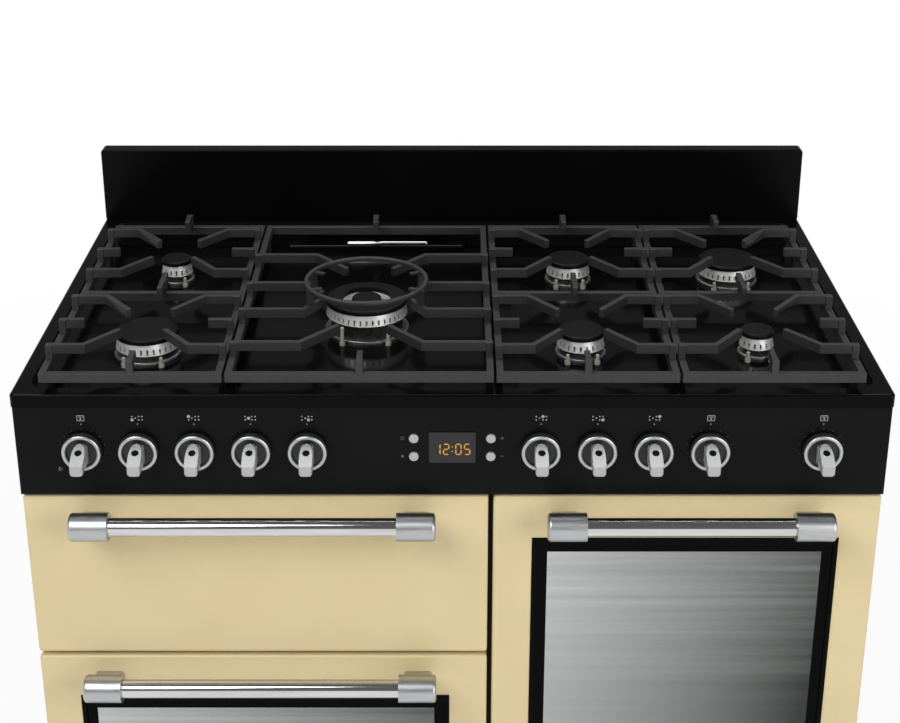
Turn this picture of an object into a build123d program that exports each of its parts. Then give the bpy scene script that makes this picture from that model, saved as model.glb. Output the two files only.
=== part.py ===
from build123d import *
import os
from math import atan2, cos, degrees, hypot, pi, radians, sin

os.makedirs("parts", exist_ok=True)

# Overall sizes, in millimetres. X runs to the right, Y to the back, Z up.
WIDTH = 1000.0            # hob, side to side
DEPTH = 600.0             # hob front edge to the back of the casing
HOB_HEIGHT = 900.0        # floor to the hob's rim
SPLASH_RISE = 105.0       # splashback above the rim
SPLASH_THICK = 20.0       # splashback, front to back

# Sheet and clearances
SHEET = 1.2               # casing, panels and liners
FRAME_SHEET = 2.0         # front frame
RUN_CLEAR = 0.05          # radial clearance of a turning or sliding fit
FREE_CLEAR = 0.5          # clearance where nothing has to touch
SEAT_CLEAR = 0.3          # clearance round a loosely seated piece

# Casing
BACK_INSET = 25.0         # back panel in front of the rearmost edge
FLANGE = 15.0             # folded edge of a casing sheet
CASING_BOTTOM = 20.0      # floor to the lower edge of the side panels
BASE_RISE = 60.0          # floor to the base pan
PLINTH_TOP = 100.0        # floor to the top of the plinth
PLINTH_DEPTH = 16.0       # plinth in front of the frame
FOOT_RADIUS = 22.0        # foot pad
FOOT_PAD = 12.0           # foot pad, height
FOOT_ROD = 5.0            # foot rod, radius
FOOT_INSET = 70.0         # foot from the casing's side and ends
VENT_SLOTS = 9            # slots in the back panel
VENT_LENGTH = 160.0       # one slot
VENT_WIDTH = 6.0
VENT_PITCH = 16.0
ANCHOR_SPACING = 400.0    # wall-anchor holes in the back panel
ANCHOR_RADIUS = 4.0
ANCHOR_DROP = 120.0       # anchor holes below the hob's rim

# Hob
LIP = 16.0                # height of the turned-down edge
HOB_CORNER = 6.0          # corner radius seen from above
HOB_EDGE = 3.0            # radius along the upper edges
WELL_MARGIN = 18.0        # rim round the well, front and sides
WELL_REAR = 14.0          # rim between the well and the splashback
WELL_DEPTH = 6.0
WELL_CORNER = 22.0
WELL_TAPER = 45.0         # slope of the well's wall, degrees
FLUE_WIDTH = 246.0        # raised flue vent
FLUE_LENGTH = 46.0
FLUE_RISE = 9.0
FLUE_REAR = 56.0          # vent to the well's rear edge
FLUE_SLOTS = 3
FLUE_SLOT_WIDTH = 7.0

# Control panel
PANEL_SETBACK = 4.0       # panel behind the hob's front edge
PANEL_DROP = 130.0        # hob rim to the panel's lower edge
PANEL_EDGE = 2.0          # edge radius
PANEL_SIDE = 1.0          # panel inside the hob's side
KNOB_DROP = 70.0          # hob rim to the knob axes
KNOB_PITCH = 64.25
KNOB_SIDE = 78.0          # hob side to the first knob on the left
OVEN_KNOB_SIDE = 78.0     # hob side to the last knob on the right
RIGHT_BANK = 101.0        # clock centre to the first knob of the right bank
LEFT_KNOBS = 5
RIGHT_KNOBS = 4
KNOB_RADIUS = 22.5        # ring, outside
KNOB_RING = 5.0           # ring, width of its face
KNOB_SKIRT = 9.0          # ring, front to back
KNOB_DISH = 3.5           # depth of the dish inside the ring
KNOB_GAP = 4.5            # panel to the knob
GRIP_WIDTH = 15.0
GRIP_LENGTH = 27.0
GRIP_REACH = 30.0         # grip in front of the ring
GRIP_EDGE = 2.5
GRIP_CORNER = 4.0         # lower corners of the grip
GRIP_NOSE = 13.0          # height of the grip's upright nose, below the slope
DOT_RADIUS = 2.6          # index recess on the slope
DOT_DEPTH = 1.5
DOT_DROP = 5.0            # index recess below the grip's upper end
STEM_RADIUS = 4.0
STEM_FLAT = 2.6           # flat of the stem from its axis
STEM_REST = 4.5           # free bore ahead of a gas stem, room for the push
STEM_GRIP = 22.0          # bore depth in the knob
TAP_SIZE = 24.0
TAP_LENGTH = 36.0
RAIL_DEPTH = 14.0
RAIL_TALL = 18.0
RAIL_WALL = 2.0
RAIL_END = 24.0           # casing side to the end of the rail
PIPE_RADIUS = 7.5
INLET_RADIUS = 13.0
INLET_BORE = 9.3
INLET_LENGTH = 18.0
SWITCH_SIZE = 42.0
SWITCH_LENGTH = 28.0
CLOCK_WIDTH = 54.0        # window
CLOCK_TALL = 40.0
CLOCK_DROP = 68.0         # hob rim to the window's centre
CLOCK_BODY_WIDTH = 116.0
CLOCK_BODY_TALL = 62.0
CLOCK_BODY_DEPTH = 24.0
LENS_THICK = 2.5
BUTTON_RADIUS = 5.6
BUTTON_REACH = 2.6        # button in front of the panel
BUTTON_X = 44.0           # clock centre to the buttons
BUTTON_PITCH = 23.0       # upper to lower button
BUTTON_TRAVEL = 1.5
BUTTON_FLANGE = 1.2       # collar behind the panel
BUTTON_STEM = 2.0
BUTTON_STEM_LENGTH = 9.0

# Pan supports
SUPPORT_SIDE = 33.0       # hob side to the outer supports
SUPPORT_FRONT = 9.0       # hob front edge to the supports
SUPPORT_REAR = 106.0      # rear edge of the casing to the supports
FRONT_ROW = 120.0         # supports' front edge to the front burners
REAR_ROW = 131.0          # supports' rear edge to the rear burners
DOUBLE_WIDTH = 207.0      # support for two burners
SUPPORT_GAP = 3.0         # between neighbours
BAR_WIDTH = 8.0
BAR_TALL = 11.0
FRAME_TOP = 22.0          # top of a support's frame above the rim
FINGER_TOP = 38.0         # top of its fingers above the rim
FINGER_WIDTH = 6.5
FINGER_TALL = 11.0
FINGER_TIP_X = 26.0       # burner axis to a finger's tip, sideways
FINGER_TIP_Y = 29.0       # and front to back
FINGER_SPREAD = 73.0      # burner axis to the straight part of a finger
FINGER_BEND = 60.0        # burner axis to the bend of a finger
STUB_LENGTH = 26.0
SUPPORT_FOOT = 40.0       # feet from the ends of a support
WOK_FORWARD = 49.0        # wok burner ahead of the middle of its support
WOK_TIP_X = 29.0          # corner fingers of the wok support
WOK_TIP_Y = 90.0
WOK_SPREAD = 139.0
WOK_BEND = 71.0
WOK_SIDE_TIP_X = 56.0     # side fingers of the wok support
WOK_SIDE_TIP_Y = 12.0
WOK_SIDE_SPREAD = 42.0
WOK_SIDE_BEND = 74.0
WOK_LEG_AT = 0.4          # place of a ring leg along the slanted part of a side finger
WOK_RING_WIDTH = 5.5
WOK_RING_TALL = 5.0
WOK_RING_RISE = 22.0      # top of the ring above the fingers
WOK_LEG = 8.0
WOK_LUG = 15.0            # lugs inside the ring

# Burners
CAP_SMALL = 20.5          # cap radii
CAP_MEDIUM = 28.5
CAP_LARGE = 38.0
CAP_WOK = 50.0
CAP_THICK = 6.0
CAP_EDGE = 2.5
CAP_OVER = 2.5            # cap beyond the flame spreader's upper edge
WOK_CENTRE_CAP = 18.0
WOK_CAP_HOLE = 30.0       # opening in the wok burner's ring cap
CUP_RIM = 4.0             # cup rim above the well
CUP_RIM_OUT = 2.0         # cup rim beyond the flame spreader
CUP_NECK_IN = 7.0         # cup neck inside the flame spreader
CUP_DEPTH = 26.0          # cup below the hob
CUP_WALL = 2.5
WAIST_IN = 6.0            # waist inside its rim
CROWN_RISE = 21.0         # flame spreader's top above the cup rim
WOK_CROWN_RISE = 32.0     # the same on the wok burner
CROWN_TALL = 14.0         # flame spreader's rim above its waist
CROWN_TAPER = 3.0         # rim narrower at the top, radius
CROWN_WALL = 5.0
PORT_WIDTH = 2.2
PORT_TALL = 6.0
PORT_LIFT = 1.5           # ports above the rim's lower edge
PORT_PITCH = 7.5          # between flame ports, round the rim
PIN_RADIUS = 2.2
PIN_MARGIN = 9.0          # ignition pins outside the cap
PIN_ANGLE = 28.0          # pins to each side of the front, degrees

# Doors
DOOR_SETBACK = 10.0       # door face behind the hob's front edge
DOOR_THICK = 40.0
DOOR_GAP = 6.0            # between doors
DOOR_TOP_GAP = 4.0        # control panel to the doors
DOOR_SIDE = 1.0           # door edge inside the hob's side
DOOR_RETURN = 24.0        # depth of a door panel's folded edge
DOOR_EDGE = 4.0           # edge radius
DOOR_SPLIT = 45.0         # gap between left and right doors, from the middle
GRILL_DOOR_TALL = 215.0
SEAL_GAP = 6.0            # door to the front frame
SEAL_WIDTH = 9.0
LINER_INSET = 11.0        # inner liner inside the door's edge
CAVITY_INSET = 46.0       # cavity inside the door's edge, sides
CAVITY_TOP = 32.0         # cavity below the door's upper edge
CAVITY_BOTTOM = 40.0      # cavity above the door's lower edge
CAVITY_DEPTH = 430.0
CAVITY_CORNER = 6.0
WINDOW_SIDE = 48.0        # window inside the door's edge
WINDOW_TOP = 63.0
WINDOW_BOTTOM = 66.0
WINDOW_CORNER = 8.0
GLASS_THICK = 4.0
GLASS_LAP = 9.0           # glass behind the edge of its cut-out
INNER_WINDOW_IN = 22.0    # inner window inside the outer one
HINGE_IN = 13.0           # hinge axis from the door's face and edge
HINGE_PIN = 3.0
HINGE_ARM = 6.0           # arm thickness along the pin
HINGE_EYE = 5.5
HINGE_EAR = 4.0
HINGE_INSET = 70.0        # hinge arms from the ends of the hinge edge
HINGE_SLOT = 1.0          # room beside the arm
HINGE_FOOT = 3.0          # arm's foot on the front frame
HINGE_FOOT_SIZE = 20.0

# Handles
HANDLE_STANDOFF = 38.0    # door face to the bar's axis
HANDLE_DROP = 20.0        # door's upper edge to the bar's axis
HANDLE_INSET = 61.0       # door's edge to the handle's end
HANDLE_END_LENGTH = 45.0
HANDLE_END_RADIUS = 16.5
HANDLE_END_EDGE = 4.0
HANDLE_BAR = 11.0         # bar radius
HANDLE_BAR_WALL = 1.5
HANDLE_SOCKET = 10.0      # bar inside each end
HANDLE_LEG_WIDTH = 34.0
HANDLE_LEG_TALL = 13.0
HANDLE_LEG_DROP = 8.0     # leg below the bar's axis

# Inside the ovens
RUNNER_COUNT = 4
LOW_RUNNER = 1            # runners that hold the shelves, counted from the lowest
HIGH_RUNNER = 5
RUNNER_PITCH = 62.0
RUNNER_SIZE = 7.0
SHELF_WIRE = 3.0          # frame wire radius
SHELF_BAR = 2.0           # cross wire radius
SHELF_BAR_PITCH = 26.0
SHELF_SIDE = 2.0          # shelf inside the cavity wall
SHELF_FRONT = 25.0        # shelf behind the cavity's mouth
SHELF_REAR = 70.0         # shelf ahead of the rear wall
ELEMENT_RADIUS = 3.25
ELEMENT_SIDE = 60.0       # element inside the cavity wall
ELEMENT_DROP = 18.0       # element below the cavity's roof
ELEMENT_FRONT = 70.0      # element behind the cavity's mouth
FAN_RADIUS = 68.0
FAN_HUB = 9.0
FAN_BLADES = 9
FAN_DISC = 1.5
FAN_BLADE_TALL = 20.0
FAN_SHAFT = 4.0
FAN_OFF_WALL = 8.0        # fan disc ahead of the rear wall
FAN_DROP = 330.0          # fan axis below the cavity's roof
RING_ELEMENT = 86.0
ELEMENT_LEAD = 2.4        # radius of the ring's leads
RING_OFF_WALL = 20.0
BAFFLE_SIZE = 270.0
BAFFLE_DEPTH = 44.0
BAFFLE_HOLE = 34.0
MOTOR_RADIUS = 34.0
MOTOR_LENGTH = 36.0

# Places that follow from the sizes
OVERHANG = HANDLE_STANDOFF + HANDLE_END_RADIUS - DOOR_SETBACK
Y_FRONT = (OVERHANG - DEPTH) / 2
Y_BACK = Y_FRONT + DEPTH
Z_RIM = HOB_HEIGHT
Z_WELL = Z_RIM - WELL_DEPTH
X_SIDE = WIDTH / 2 - HOB_EDGE - FREE_CLEAR
X_PANEL = WIDTH / 2 - PANEL_SIDE
X_INSIDE = X_SIDE - SHEET
Y_PANEL = Y_FRONT + PANEL_SETBACK
Z_PANEL = Z_RIM - PANEL_DROP
Z_KNOB = Z_RIM - KNOB_DROP
Y_DOOR = Y_FRONT + DOOR_SETBACK
Y_DOOR_BACK = Y_DOOR + DOOR_THICK
Y_FRAME = Y_DOOR_BACK + SEAL_GAP
Y_CAVITY = Y_FRAME + FRAME_SHEET
Y_REAR_PANEL = Y_BACK - BACK_INSET
Y_RAIL = Y_FRAME - RAIL_DEPTH
Y_SPLASH = Y_BACK - SPLASH_THICK
Y_HINGE = Y_DOOR + HINGE_IN
KNOB_X = [-WIDTH / 2 + KNOB_SIDE + KNOB_PITCH * i for i in range(LEFT_KNOBS)]
KNOB_X += [RIGHT_BANK + KNOB_PITCH * i for i in range(RIGHT_KNOBS)]
KNOB_X += [WIDTH / 2 - OVEN_KNOB_SIDE]
OVEN_KNOBS = [0, LEFT_KNOBS + RIGHT_KNOBS - 1, LEFT_KNOBS + RIGHT_KNOBS]
GAS_KNOBS = [i for i in range(len(KNOB_X)) if i not in OVEN_KNOBS]
BUTTONS = [(side * BUTTON_X, Z_RIM - CLOCK_DROP + level * BUTTON_PITCH / 2)
           for side in (-1, 1) for level in (1, -1)]

# Pan supports by their left and right edges, then burners by place and cap radius
SUPPORT_Y0 = Y_FRONT + SUPPORT_FRONT
SUPPORT_Y1 = Y_BACK - SUPPORT_REAR
SUPPORT_MIDDLE = (SUPPORT_Y0 + SUPPORT_Y1) / 2
ROW_FRONT = SUPPORT_Y0 + FRONT_ROW
ROW_REAR = SUPPORT_Y1 - REAR_ROW
SUPPORT_LEFT = (-WIDTH / 2 + SUPPORT_SIDE, -WIDTH / 2 + SUPPORT_SIDE + DOUBLE_WIDTH)
SUPPORT_RIGHT = (WIDTH / 2 - SUPPORT_SIDE - DOUBLE_WIDTH, WIDTH / 2 - SUPPORT_SIDE)
SUPPORT_INNER = (SUPPORT_RIGHT[0] - SUPPORT_GAP - DOUBLE_WIDTH, SUPPORT_RIGHT[0] - SUPPORT_GAP)
SUPPORT_WOK = (SUPPORT_LEFT[1] + SUPPORT_GAP, SUPPORT_INNER[0] - SUPPORT_GAP)
WOK_X = sum(SUPPORT_WOK) / 2
WOK_Y = SUPPORT_MIDDLE - WOK_FORWARD
BURNERS = [(sum(SUPPORT_LEFT) / 2, ROW_FRONT, CAP_LARGE),
           (sum(SUPPORT_LEFT) / 2, ROW_REAR, CAP_SMALL),
           (sum(SUPPORT_INNER) / 2, ROW_FRONT, CAP_MEDIUM),
           (sum(SUPPORT_INNER) / 2, ROW_REAR, CAP_MEDIUM),
           (sum(SUPPORT_RIGHT) / 2, ROW_FRONT, CAP_SMALL),
           (sum(SUPPORT_RIGHT) / 2, ROW_REAR, CAP_LARGE)]
ALL_BURNERS = BURNERS + [(WOK_X, WOK_Y, CAP_WOK)]
Y_FLUE = Y_SPLASH - WELL_REAR - FLUE_REAR - FLUE_LENGTH / 2

# Doors by left, right, lower and upper edge
Z_DOOR_TOP = Z_PANEL - DOOR_TOP_GAP
Z_DOOR_LOW = PLINTH_TOP + DOOR_GAP
Z_GRILL_LOW = Z_DOOR_TOP - GRILL_DOOR_TALL
X_DOOR = WIDTH / 2 - DOOR_SIDE
GRILL_DOOR = (-X_DOOR, DOOR_SPLIT - DOOR_GAP / 2, Z_GRILL_LOW, Z_DOOR_TOP)
LEFT_DOOR = (-X_DOOR, DOOR_SPLIT - DOOR_GAP / 2, Z_DOOR_LOW, Z_GRILL_LOW - DOOR_GAP)
RIGHT_DOOR = (DOOR_SPLIT + DOOR_GAP / 2, X_DOOR, Z_DOOR_LOW, Z_DOOR_TOP)


def block(x0, x1, y0, y1, z0, z1):
    """A box given by its six faces."""
    return Pos((x0 + x1) / 2, (y0 + y1) / 2, (z0 + z1) / 2) * Box(x1 - x0, y1 - y0, z1 - z0)


def bar_x(y, z, x0, x1, radius):
    """A round bar along X."""
    return Pos((x0 + x1) / 2, y, z) * Rot(0, 90, 0) * Cylinder(radius, x1 - x0)


def bar_y(x, z, y0, y1, radius):
    """A round bar along Y."""
    return Pos(x, (y0 + y1) / 2, z) * Rot(90, 0, 0) * Cylinder(radius, y1 - y0)


def bar_z(x, y, z0, z1, radius):
    """A round bar along Z."""
    return Pos(x, y, (z0 + z1) / 2) * Cylinder(radius, z1 - z0)


def rounded_y(x0, x1, y0, y1, z0, z1, radius):
    """A box whose four edges along Y are rounded."""
    return fillet(block(x0, x1, y0, y1, z0, z1).edges().filter_by(Axis.Y), radius)


def joined(pieces):
    """Several overlapping pieces as one."""
    first, *others = pieces
    return first.fuse(*others).clean() if others else first


def cut(body, pieces):
    """A body less several pieces."""
    return body.cut(*pieces) if pieces else body


def group(pieces):
    """Separate solids of one node."""
    return Compound(children=[solid for piece in pieces for solid in piece.solids()])


def cavity_of(door):
    """The oven's mouth behind a door."""
    x0, x1, z0, z1 = door
    return (x0 + CAVITY_INSET, x1 - CAVITY_INSET, z0 + CAVITY_BOTTOM, z1 - CAVITY_TOP)


def window_of(door):
    """The cut-out for the glass in a door."""
    x0, x1, z0, z1 = door
    return (x0 + WINDOW_SIDE, x1 - WINDOW_SIDE, z0 + WINDOW_BOTTOM, z1 - WINDOW_TOP)


def hob_top():
    """The enamelled pressing: lip, rim, well, burner holes and flue vent."""
    tray = block(-WIDTH / 2, WIDTH / 2, Y_FRONT, Y_BACK, Z_RIM - LIP, Z_RIM)
    tray = fillet(tray.edges().filter_by(Axis.Z), HOB_CORNER)
    tray = fillet(tray.faces().sort_by(Axis.Z)[-1].edges(), HOB_EDGE)
    under = block(-WIDTH / 2 + SHEET, WIDTH / 2 - SHEET, Y_FRONT + SHEET, Y_BACK - SHEET,
                  Z_RIM - LIP, Z_RIM - SHEET)
    under = fillet(under.edges().filter_by(Axis.Z), HOB_CORNER - SHEET)
    tray -= fillet(under.faces().sort_by(Axis.Z)[-1].edges(), HOB_EDGE - SHEET)
    length = WIDTH - 2 * WELL_MARGIN
    depth = DEPTH - WELL_MARGIN - SPLASH_THICK - WELL_REAR
    place = Pos(0, Y_FRONT + WELL_MARGIN + depth / 2, Z_RIM)
    outside = RectangleRounded(length + 2 * SHEET, depth + 2 * SHEET, WELL_CORNER + SHEET)
    inside = RectangleRounded(length, depth, WELL_CORNER)
    tray += place * extrude(outside, amount=-WELL_DEPTH - SHEET, taper=WELL_TAPER)
    tray -= place * extrude(inside, amount=-WELL_DEPTH, taper=WELL_TAPER)
    half = FLUE_WIDTH / 2
    long = FLUE_LENGTH / 2
    hood = block(WOK_X - half, WOK_X + half, Y_FLUE - long, Y_FLUE + long,
                 Z_WELL - SHEET, Z_WELL + FLUE_RISE)
    hood = fillet(hood.edges().filter_by(Axis.Z), FLUE_LENGTH / 6)
    hood = fillet(hood.faces().sort_by(Axis.Z)[-1].edges(), HOB_EDGE)
    below = block(WOK_X - half + SHEET, WOK_X + half - SHEET, Y_FLUE - long + SHEET,
                  Y_FLUE + long - SHEET, Z_WELL - 2 * SHEET, Z_WELL + FLUE_RISE - SHEET)
    below = fillet(below.edges().filter_by(Axis.Z), FLUE_LENGTH / 6)
    tray = (tray + hood) - below
    pitch = FLUE_LENGTH / (FLUE_SLOTS + 1)
    cutters = []
    for i in range(FLUE_SLOTS):
        slot = SlotOverall(FLUE_WIDTH - FLUE_LENGTH, FLUE_SLOT_WIDTH)
        y = Y_FLUE - long + pitch * (i + 1)
        cutters.append(Pos(WOK_X, y, Z_WELL) * extrude(slot, amount=2 * FLUE_RISE))
    for x, y, cap in ALL_BURNERS:
        cutters.append(bar_z(x, y, Z_WELL - 2 * WELL_DEPTH, Z_RIM, cup_neck(cap) + SEAT_CLEAR))
    return cut(tray, cutters)


def splashback():
    """The hollow upstand along the rear edge."""
    shell = block(-WIDTH / 2, WIDTH / 2, Y_SPLASH, Y_BACK, Z_RIM, Z_RIM + SPLASH_RISE)
    shell = fillet(shell.edges().filter_by(Axis.Y).group_by(Axis.Z)[-1], HOB_CORNER)
    shell = fillet(shell.faces().sort_by(Axis.Y)[0].edges().group_by(Axis.Z)[-1], HOB_EDGE)
    return offset(shell, amount=-SHEET, openings=shell.faces().sort_by(Axis.Z)[0])


def control_panel():
    """The fascia, a tray open at the back, with its holes."""
    tray = block(-X_PANEL, X_PANEL, Y_PANEL, Y_FRAME, Z_PANEL, Z_RIM - LIP)
    tray = fillet(tray.faces().sort_by(Axis.Y)[0].edges(), PANEL_EDGE)
    tray = offset(tray, amount=-SHEET, openings=tray.faces().sort_by(Axis.Y)[-1])
    behind = Y_PANEL + 2 * SHEET
    cutters = [bar_y(x, Z_KNOB, Y_PANEL - SHEET, behind, STEM_RADIUS + FREE_CLEAR) for x in KNOB_X]
    cutters += [bar_y(x, z, Y_PANEL - SHEET, behind, BUTTON_RADIUS + SEAT_CLEAR) for x, z in BUTTONS]
    half = CLOCK_WIDTH / 2
    middle = Z_RIM - CLOCK_DROP
    cutters.append(rounded_y(-half, half, Y_PANEL - SHEET, behind, middle - CLOCK_TALL / 2,
                             middle + CLOCK_TALL / 2, PANEL_EDGE))
    return cut(tray, cutters)


def clock_module():
    """The clock's housing behind the panel and the lens in the window."""
    middle = Z_RIM - CLOCK_DROP
    front = Y_PANEL + SHEET
    half = CLOCK_BODY_WIDTH / 2
    tall = CLOCK_BODY_TALL / 2
    face = front + BUTTON_FLANGE + BUTTON_TRAVEL + FREE_CLEAR
    body = block(-half, half, front, front + CLOCK_BODY_DEPTH, middle - tall, middle + tall)
    pocket = BUTTON_RADIUS + BUTTON_FLANGE + FREE_CLEAR
    cutters = []
    for x, z in BUTTONS:
        cutters.append(bar_y(x, z, front - SHEET, face, pocket))
        cutters.append(bar_y(x, z, front, front + CLOCK_BODY_DEPTH - SHEET, BUTTON_STEM + RUN_CLEAR))
    body = cut(body, cutters)
    wide = CLOCK_WIDTH / 2 - SEAT_CLEAR
    high = CLOCK_TALL / 2 - SEAT_CLEAR
    lens = rounded_y(-wide, wide, front - LENS_THICK, front, middle - high, middle + high, PANEL_EDGE)
    lens = fillet(lens.faces().sort_by(Axis.Y)[0].edges(), SHEET / 2)
    return group([body, lens])


def clock_button(x, z):
    """A round push button with a collar behind the panel and a guide stem."""
    front = Y_PANEL - BUTTON_REACH
    collar = Y_PANEL + SHEET
    head = bar_y(x, z, front, collar + BUTTON_FLANGE, BUTTON_RADIUS)
    head = fillet(head.faces().sort_by(Axis.Y)[0].edges(), BUTTON_REACH / 2)
    rim = bar_y(x, z, collar, collar + BUTTON_FLANGE, BUTTON_RADIUS + BUTTON_FLANGE)
    stem = bar_y(x, z, collar, collar + BUTTON_FLANGE + BUTTON_STEM_LENGTH, BUTTON_STEM)
    return joined([head, rim, stem])


def stem_section(x, y0, y1, clearance):
    """A round bar with one flat, for the stem or its bore."""
    radius = STEM_RADIUS + clearance
    bar = bar_y(x, Z_KNOB, y0, y1, radius)
    return bar & block(x - radius, x + radius, y0, y1, Z_KNOB - radius, Z_KNOB + STEM_FLAT + clearance)


def knob(x, is_gas):
    """A ring, a dish and an upright grip bar; an oven knob carries its own stem."""
    back = Y_PANEL - KNOB_GAP
    ring = back - KNOB_SKIRT
    body = bar_y(x, Z_KNOB, ring, back, KNOB_RADIUS)
    body = fillet(body.faces().sort_by(Axis.Y)[0].edges(), KNOB_RING / 2.2)
    dish = bar_y(x, Z_KNOB, ring, ring + KNOB_DISH, KNOB_RADIUS - KNOB_RING)
    body -= dish
    inner = [e for e in body.edges().filter_by(GeomType.CIRCLE)
             if abs(e.radius - KNOB_RADIUS + KNOB_RING) < SHEET / 4 and e.center().Y < ring + SHEET]
    body = fillet(inner, KNOB_RING / 2.6)
    outline = Rot(0, 0, 90) * SlotOverall(GRIP_LENGTH, GRIP_WIDTH)
    outline += Pos(0, -GRIP_LENGTH / 4) * Rectangle(GRIP_WIDTH, GRIP_LENGTH / 2)
    outline = fillet(outline.vertices().group_by(Axis.Y)[0], GRIP_CORNER)
    grip = Pos(x, ring + KNOB_DISH, Z_KNOB) * extrude(Plane.XZ * outline, amount=GRIP_REACH + KNOB_DISH)
    grip = fillet(grip.faces().sort_by(Axis.Y)[0].edges(), GRIP_EDGE)
    top = Z_KNOB + GRIP_LENGTH / 2
    front = ring - GRIP_REACH
    nose = top - GRIP_LENGTH + GRIP_NOSE
    wedge = Plane.YZ * make_face(Polyline((ring, top), (front, nose), (front, top), (ring, top)))
    grip -= Pos(x, 0, 0) * extrude(wedge, amount=GRIP_WIDTH, both=True)
    dot = ring - GRIP_REACH * DOT_DROP / (GRIP_LENGTH - GRIP_NOSE)
    grip -= bar_y(x, top - DOT_DROP, front, dot + DOT_DEPTH, DOT_RADIUS)
    body = joined([body, grip])
    if is_gas:
        return body - stem_section(x, back - STEM_GRIP, back, RUN_CLEAR)
    return joined([body, bar_y(x, Z_KNOB, back - KNOB_DISH, Y_PANEL + SHEET + SWITCH_LENGTH / 2,
                               STEM_RADIUS)])


def tap_stem(x):
    """The stem of a gas tap: round in the tap, flatted in the knob."""
    back = Y_PANEL - KNOB_GAP
    tap = Y_RAIL - TAP_LENGTH
    flat_end = back + STEM_REST
    shank = bar_y(x, Z_KNOB, flat_end, tap + TAP_LENGTH / 2, STEM_RADIUS)
    return joined([stem_section(x, back - STEM_GRIP + STEM_REST, flat_end, 0), shank])


def gas_rail_and_taps():
    """The rail with its supply pipe and inlet, a tap for each gas knob, and the oven switches."""
    end = X_SIDE - RAIL_END
    low = Z_KNOB - RAIL_TALL / 2
    rail = block(-end, end, Y_RAIL, Y_FRAME, low, low + RAIL_TALL)
    rail -= block(-end + RAIL_WALL, end - RAIL_WALL, Y_RAIL + RAIL_WALL, Y_FRAME - RAIL_WALL,
                  low + RAIL_WALL, low + RAIL_TALL - RAIL_WALL)
    pipe_x = end - PIPE_RADIUS - RAIL_WALL
    pipe = bar_y(pipe_x, Z_KNOB, Y_FRAME - RAIL_WALL / 2, Y_REAR_PANEL, PIPE_RADIUS)
    inlet = bar_y(pipe_x, Z_KNOB, Y_REAR_PANEL, Y_REAR_PANEL + INLET_LENGTH, INLET_RADIUS)
    flange = bar_y(pipe_x, Z_KNOB, Y_REAR_PANEL - SHEET - INLET_LENGTH / 3, Y_REAR_PANEL - SHEET,
                   INLET_RADIUS)
    supply = joined([rail, pipe, inlet, flange])
    supply -= bar_y(pipe_x, Z_KNOB, Y_REAR_PANEL, Y_REAR_PANEL + INLET_LENGTH, INLET_BORE)
    pieces = [supply]
    half = TAP_SIZE / 2
    for i in GAS_KNOBS:
        x = KNOB_X[i]
        tap = block(x - half, x + half, Y_RAIL - TAP_LENGTH, Y_RAIL, Z_KNOB - half, Z_KNOB + half)
        tap = chamfer(tap.faces().sort_by(Axis.Y)[0].edges(), TAP_SIZE / 6)
        bore = bar_y(x, Z_KNOB, Y_RAIL - TAP_LENGTH, Y_RAIL - TAP_LENGTH / 2 + FREE_CLEAR,
                     STEM_RADIUS + RUN_CLEAR)
        pieces.append(tap - bore)
    half = SWITCH_SIZE / 2
    front = Y_PANEL + SHEET
    for i in OVEN_KNOBS:
        x = KNOB_X[i]
        switch = block(x - half, x + half, front, front + SWITCH_LENGTH, Z_KNOB - half, Z_KNOB + half)
        switch = chamfer(switch.edges().filter_by(Axis.Y), SWITCH_SIZE / 8)
        bore = bar_y(x, Z_KNOB, front, front + SWITCH_LENGTH / 2 + FREE_CLEAR, STEM_RADIUS + RUN_CLEAR)
        pieces.append(switch - bore)
    return group(pieces)


def front_frame():
    """The frame of flat bars that the doors close on: three uprights, and rails round the oven mouths."""
    top = Z_WELL - SHEET
    left, left_end, left_low, left_high = cavity_of(LEFT_DOOR)
    grill_low, grill_high = cavity_of(GRILL_DOOR)[2:]
    right, right_end, right_low, right_high = cavity_of(RIGHT_DOOR)
    bars = [(-X_INSIDE, left, BASE_RISE, top),
            (left_end, right, BASE_RISE, top),
            (right_end, X_INSIDE, BASE_RISE, top),
            (left, left_end, BASE_RISE, left_low),
            (left, left_end, left_high, grill_low),
            (left, left_end, grill_high, top),
            (right, right_end, BASE_RISE, right_low),
            (right, right_end, right_high, top)]
    pipe_x = X_SIDE - RAIL_END - PIPE_RADIUS - RAIL_WALL
    hole = bar_y(pipe_x, Z_KNOB, Y_FRAME, Y_CAVITY, PIPE_RADIUS + FREE_CLEAR)
    return group([block(x0, x1, Y_FRAME, Y_CAVITY, z0, z1) - hole for x0, x1, z0, z1 in bars])


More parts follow.
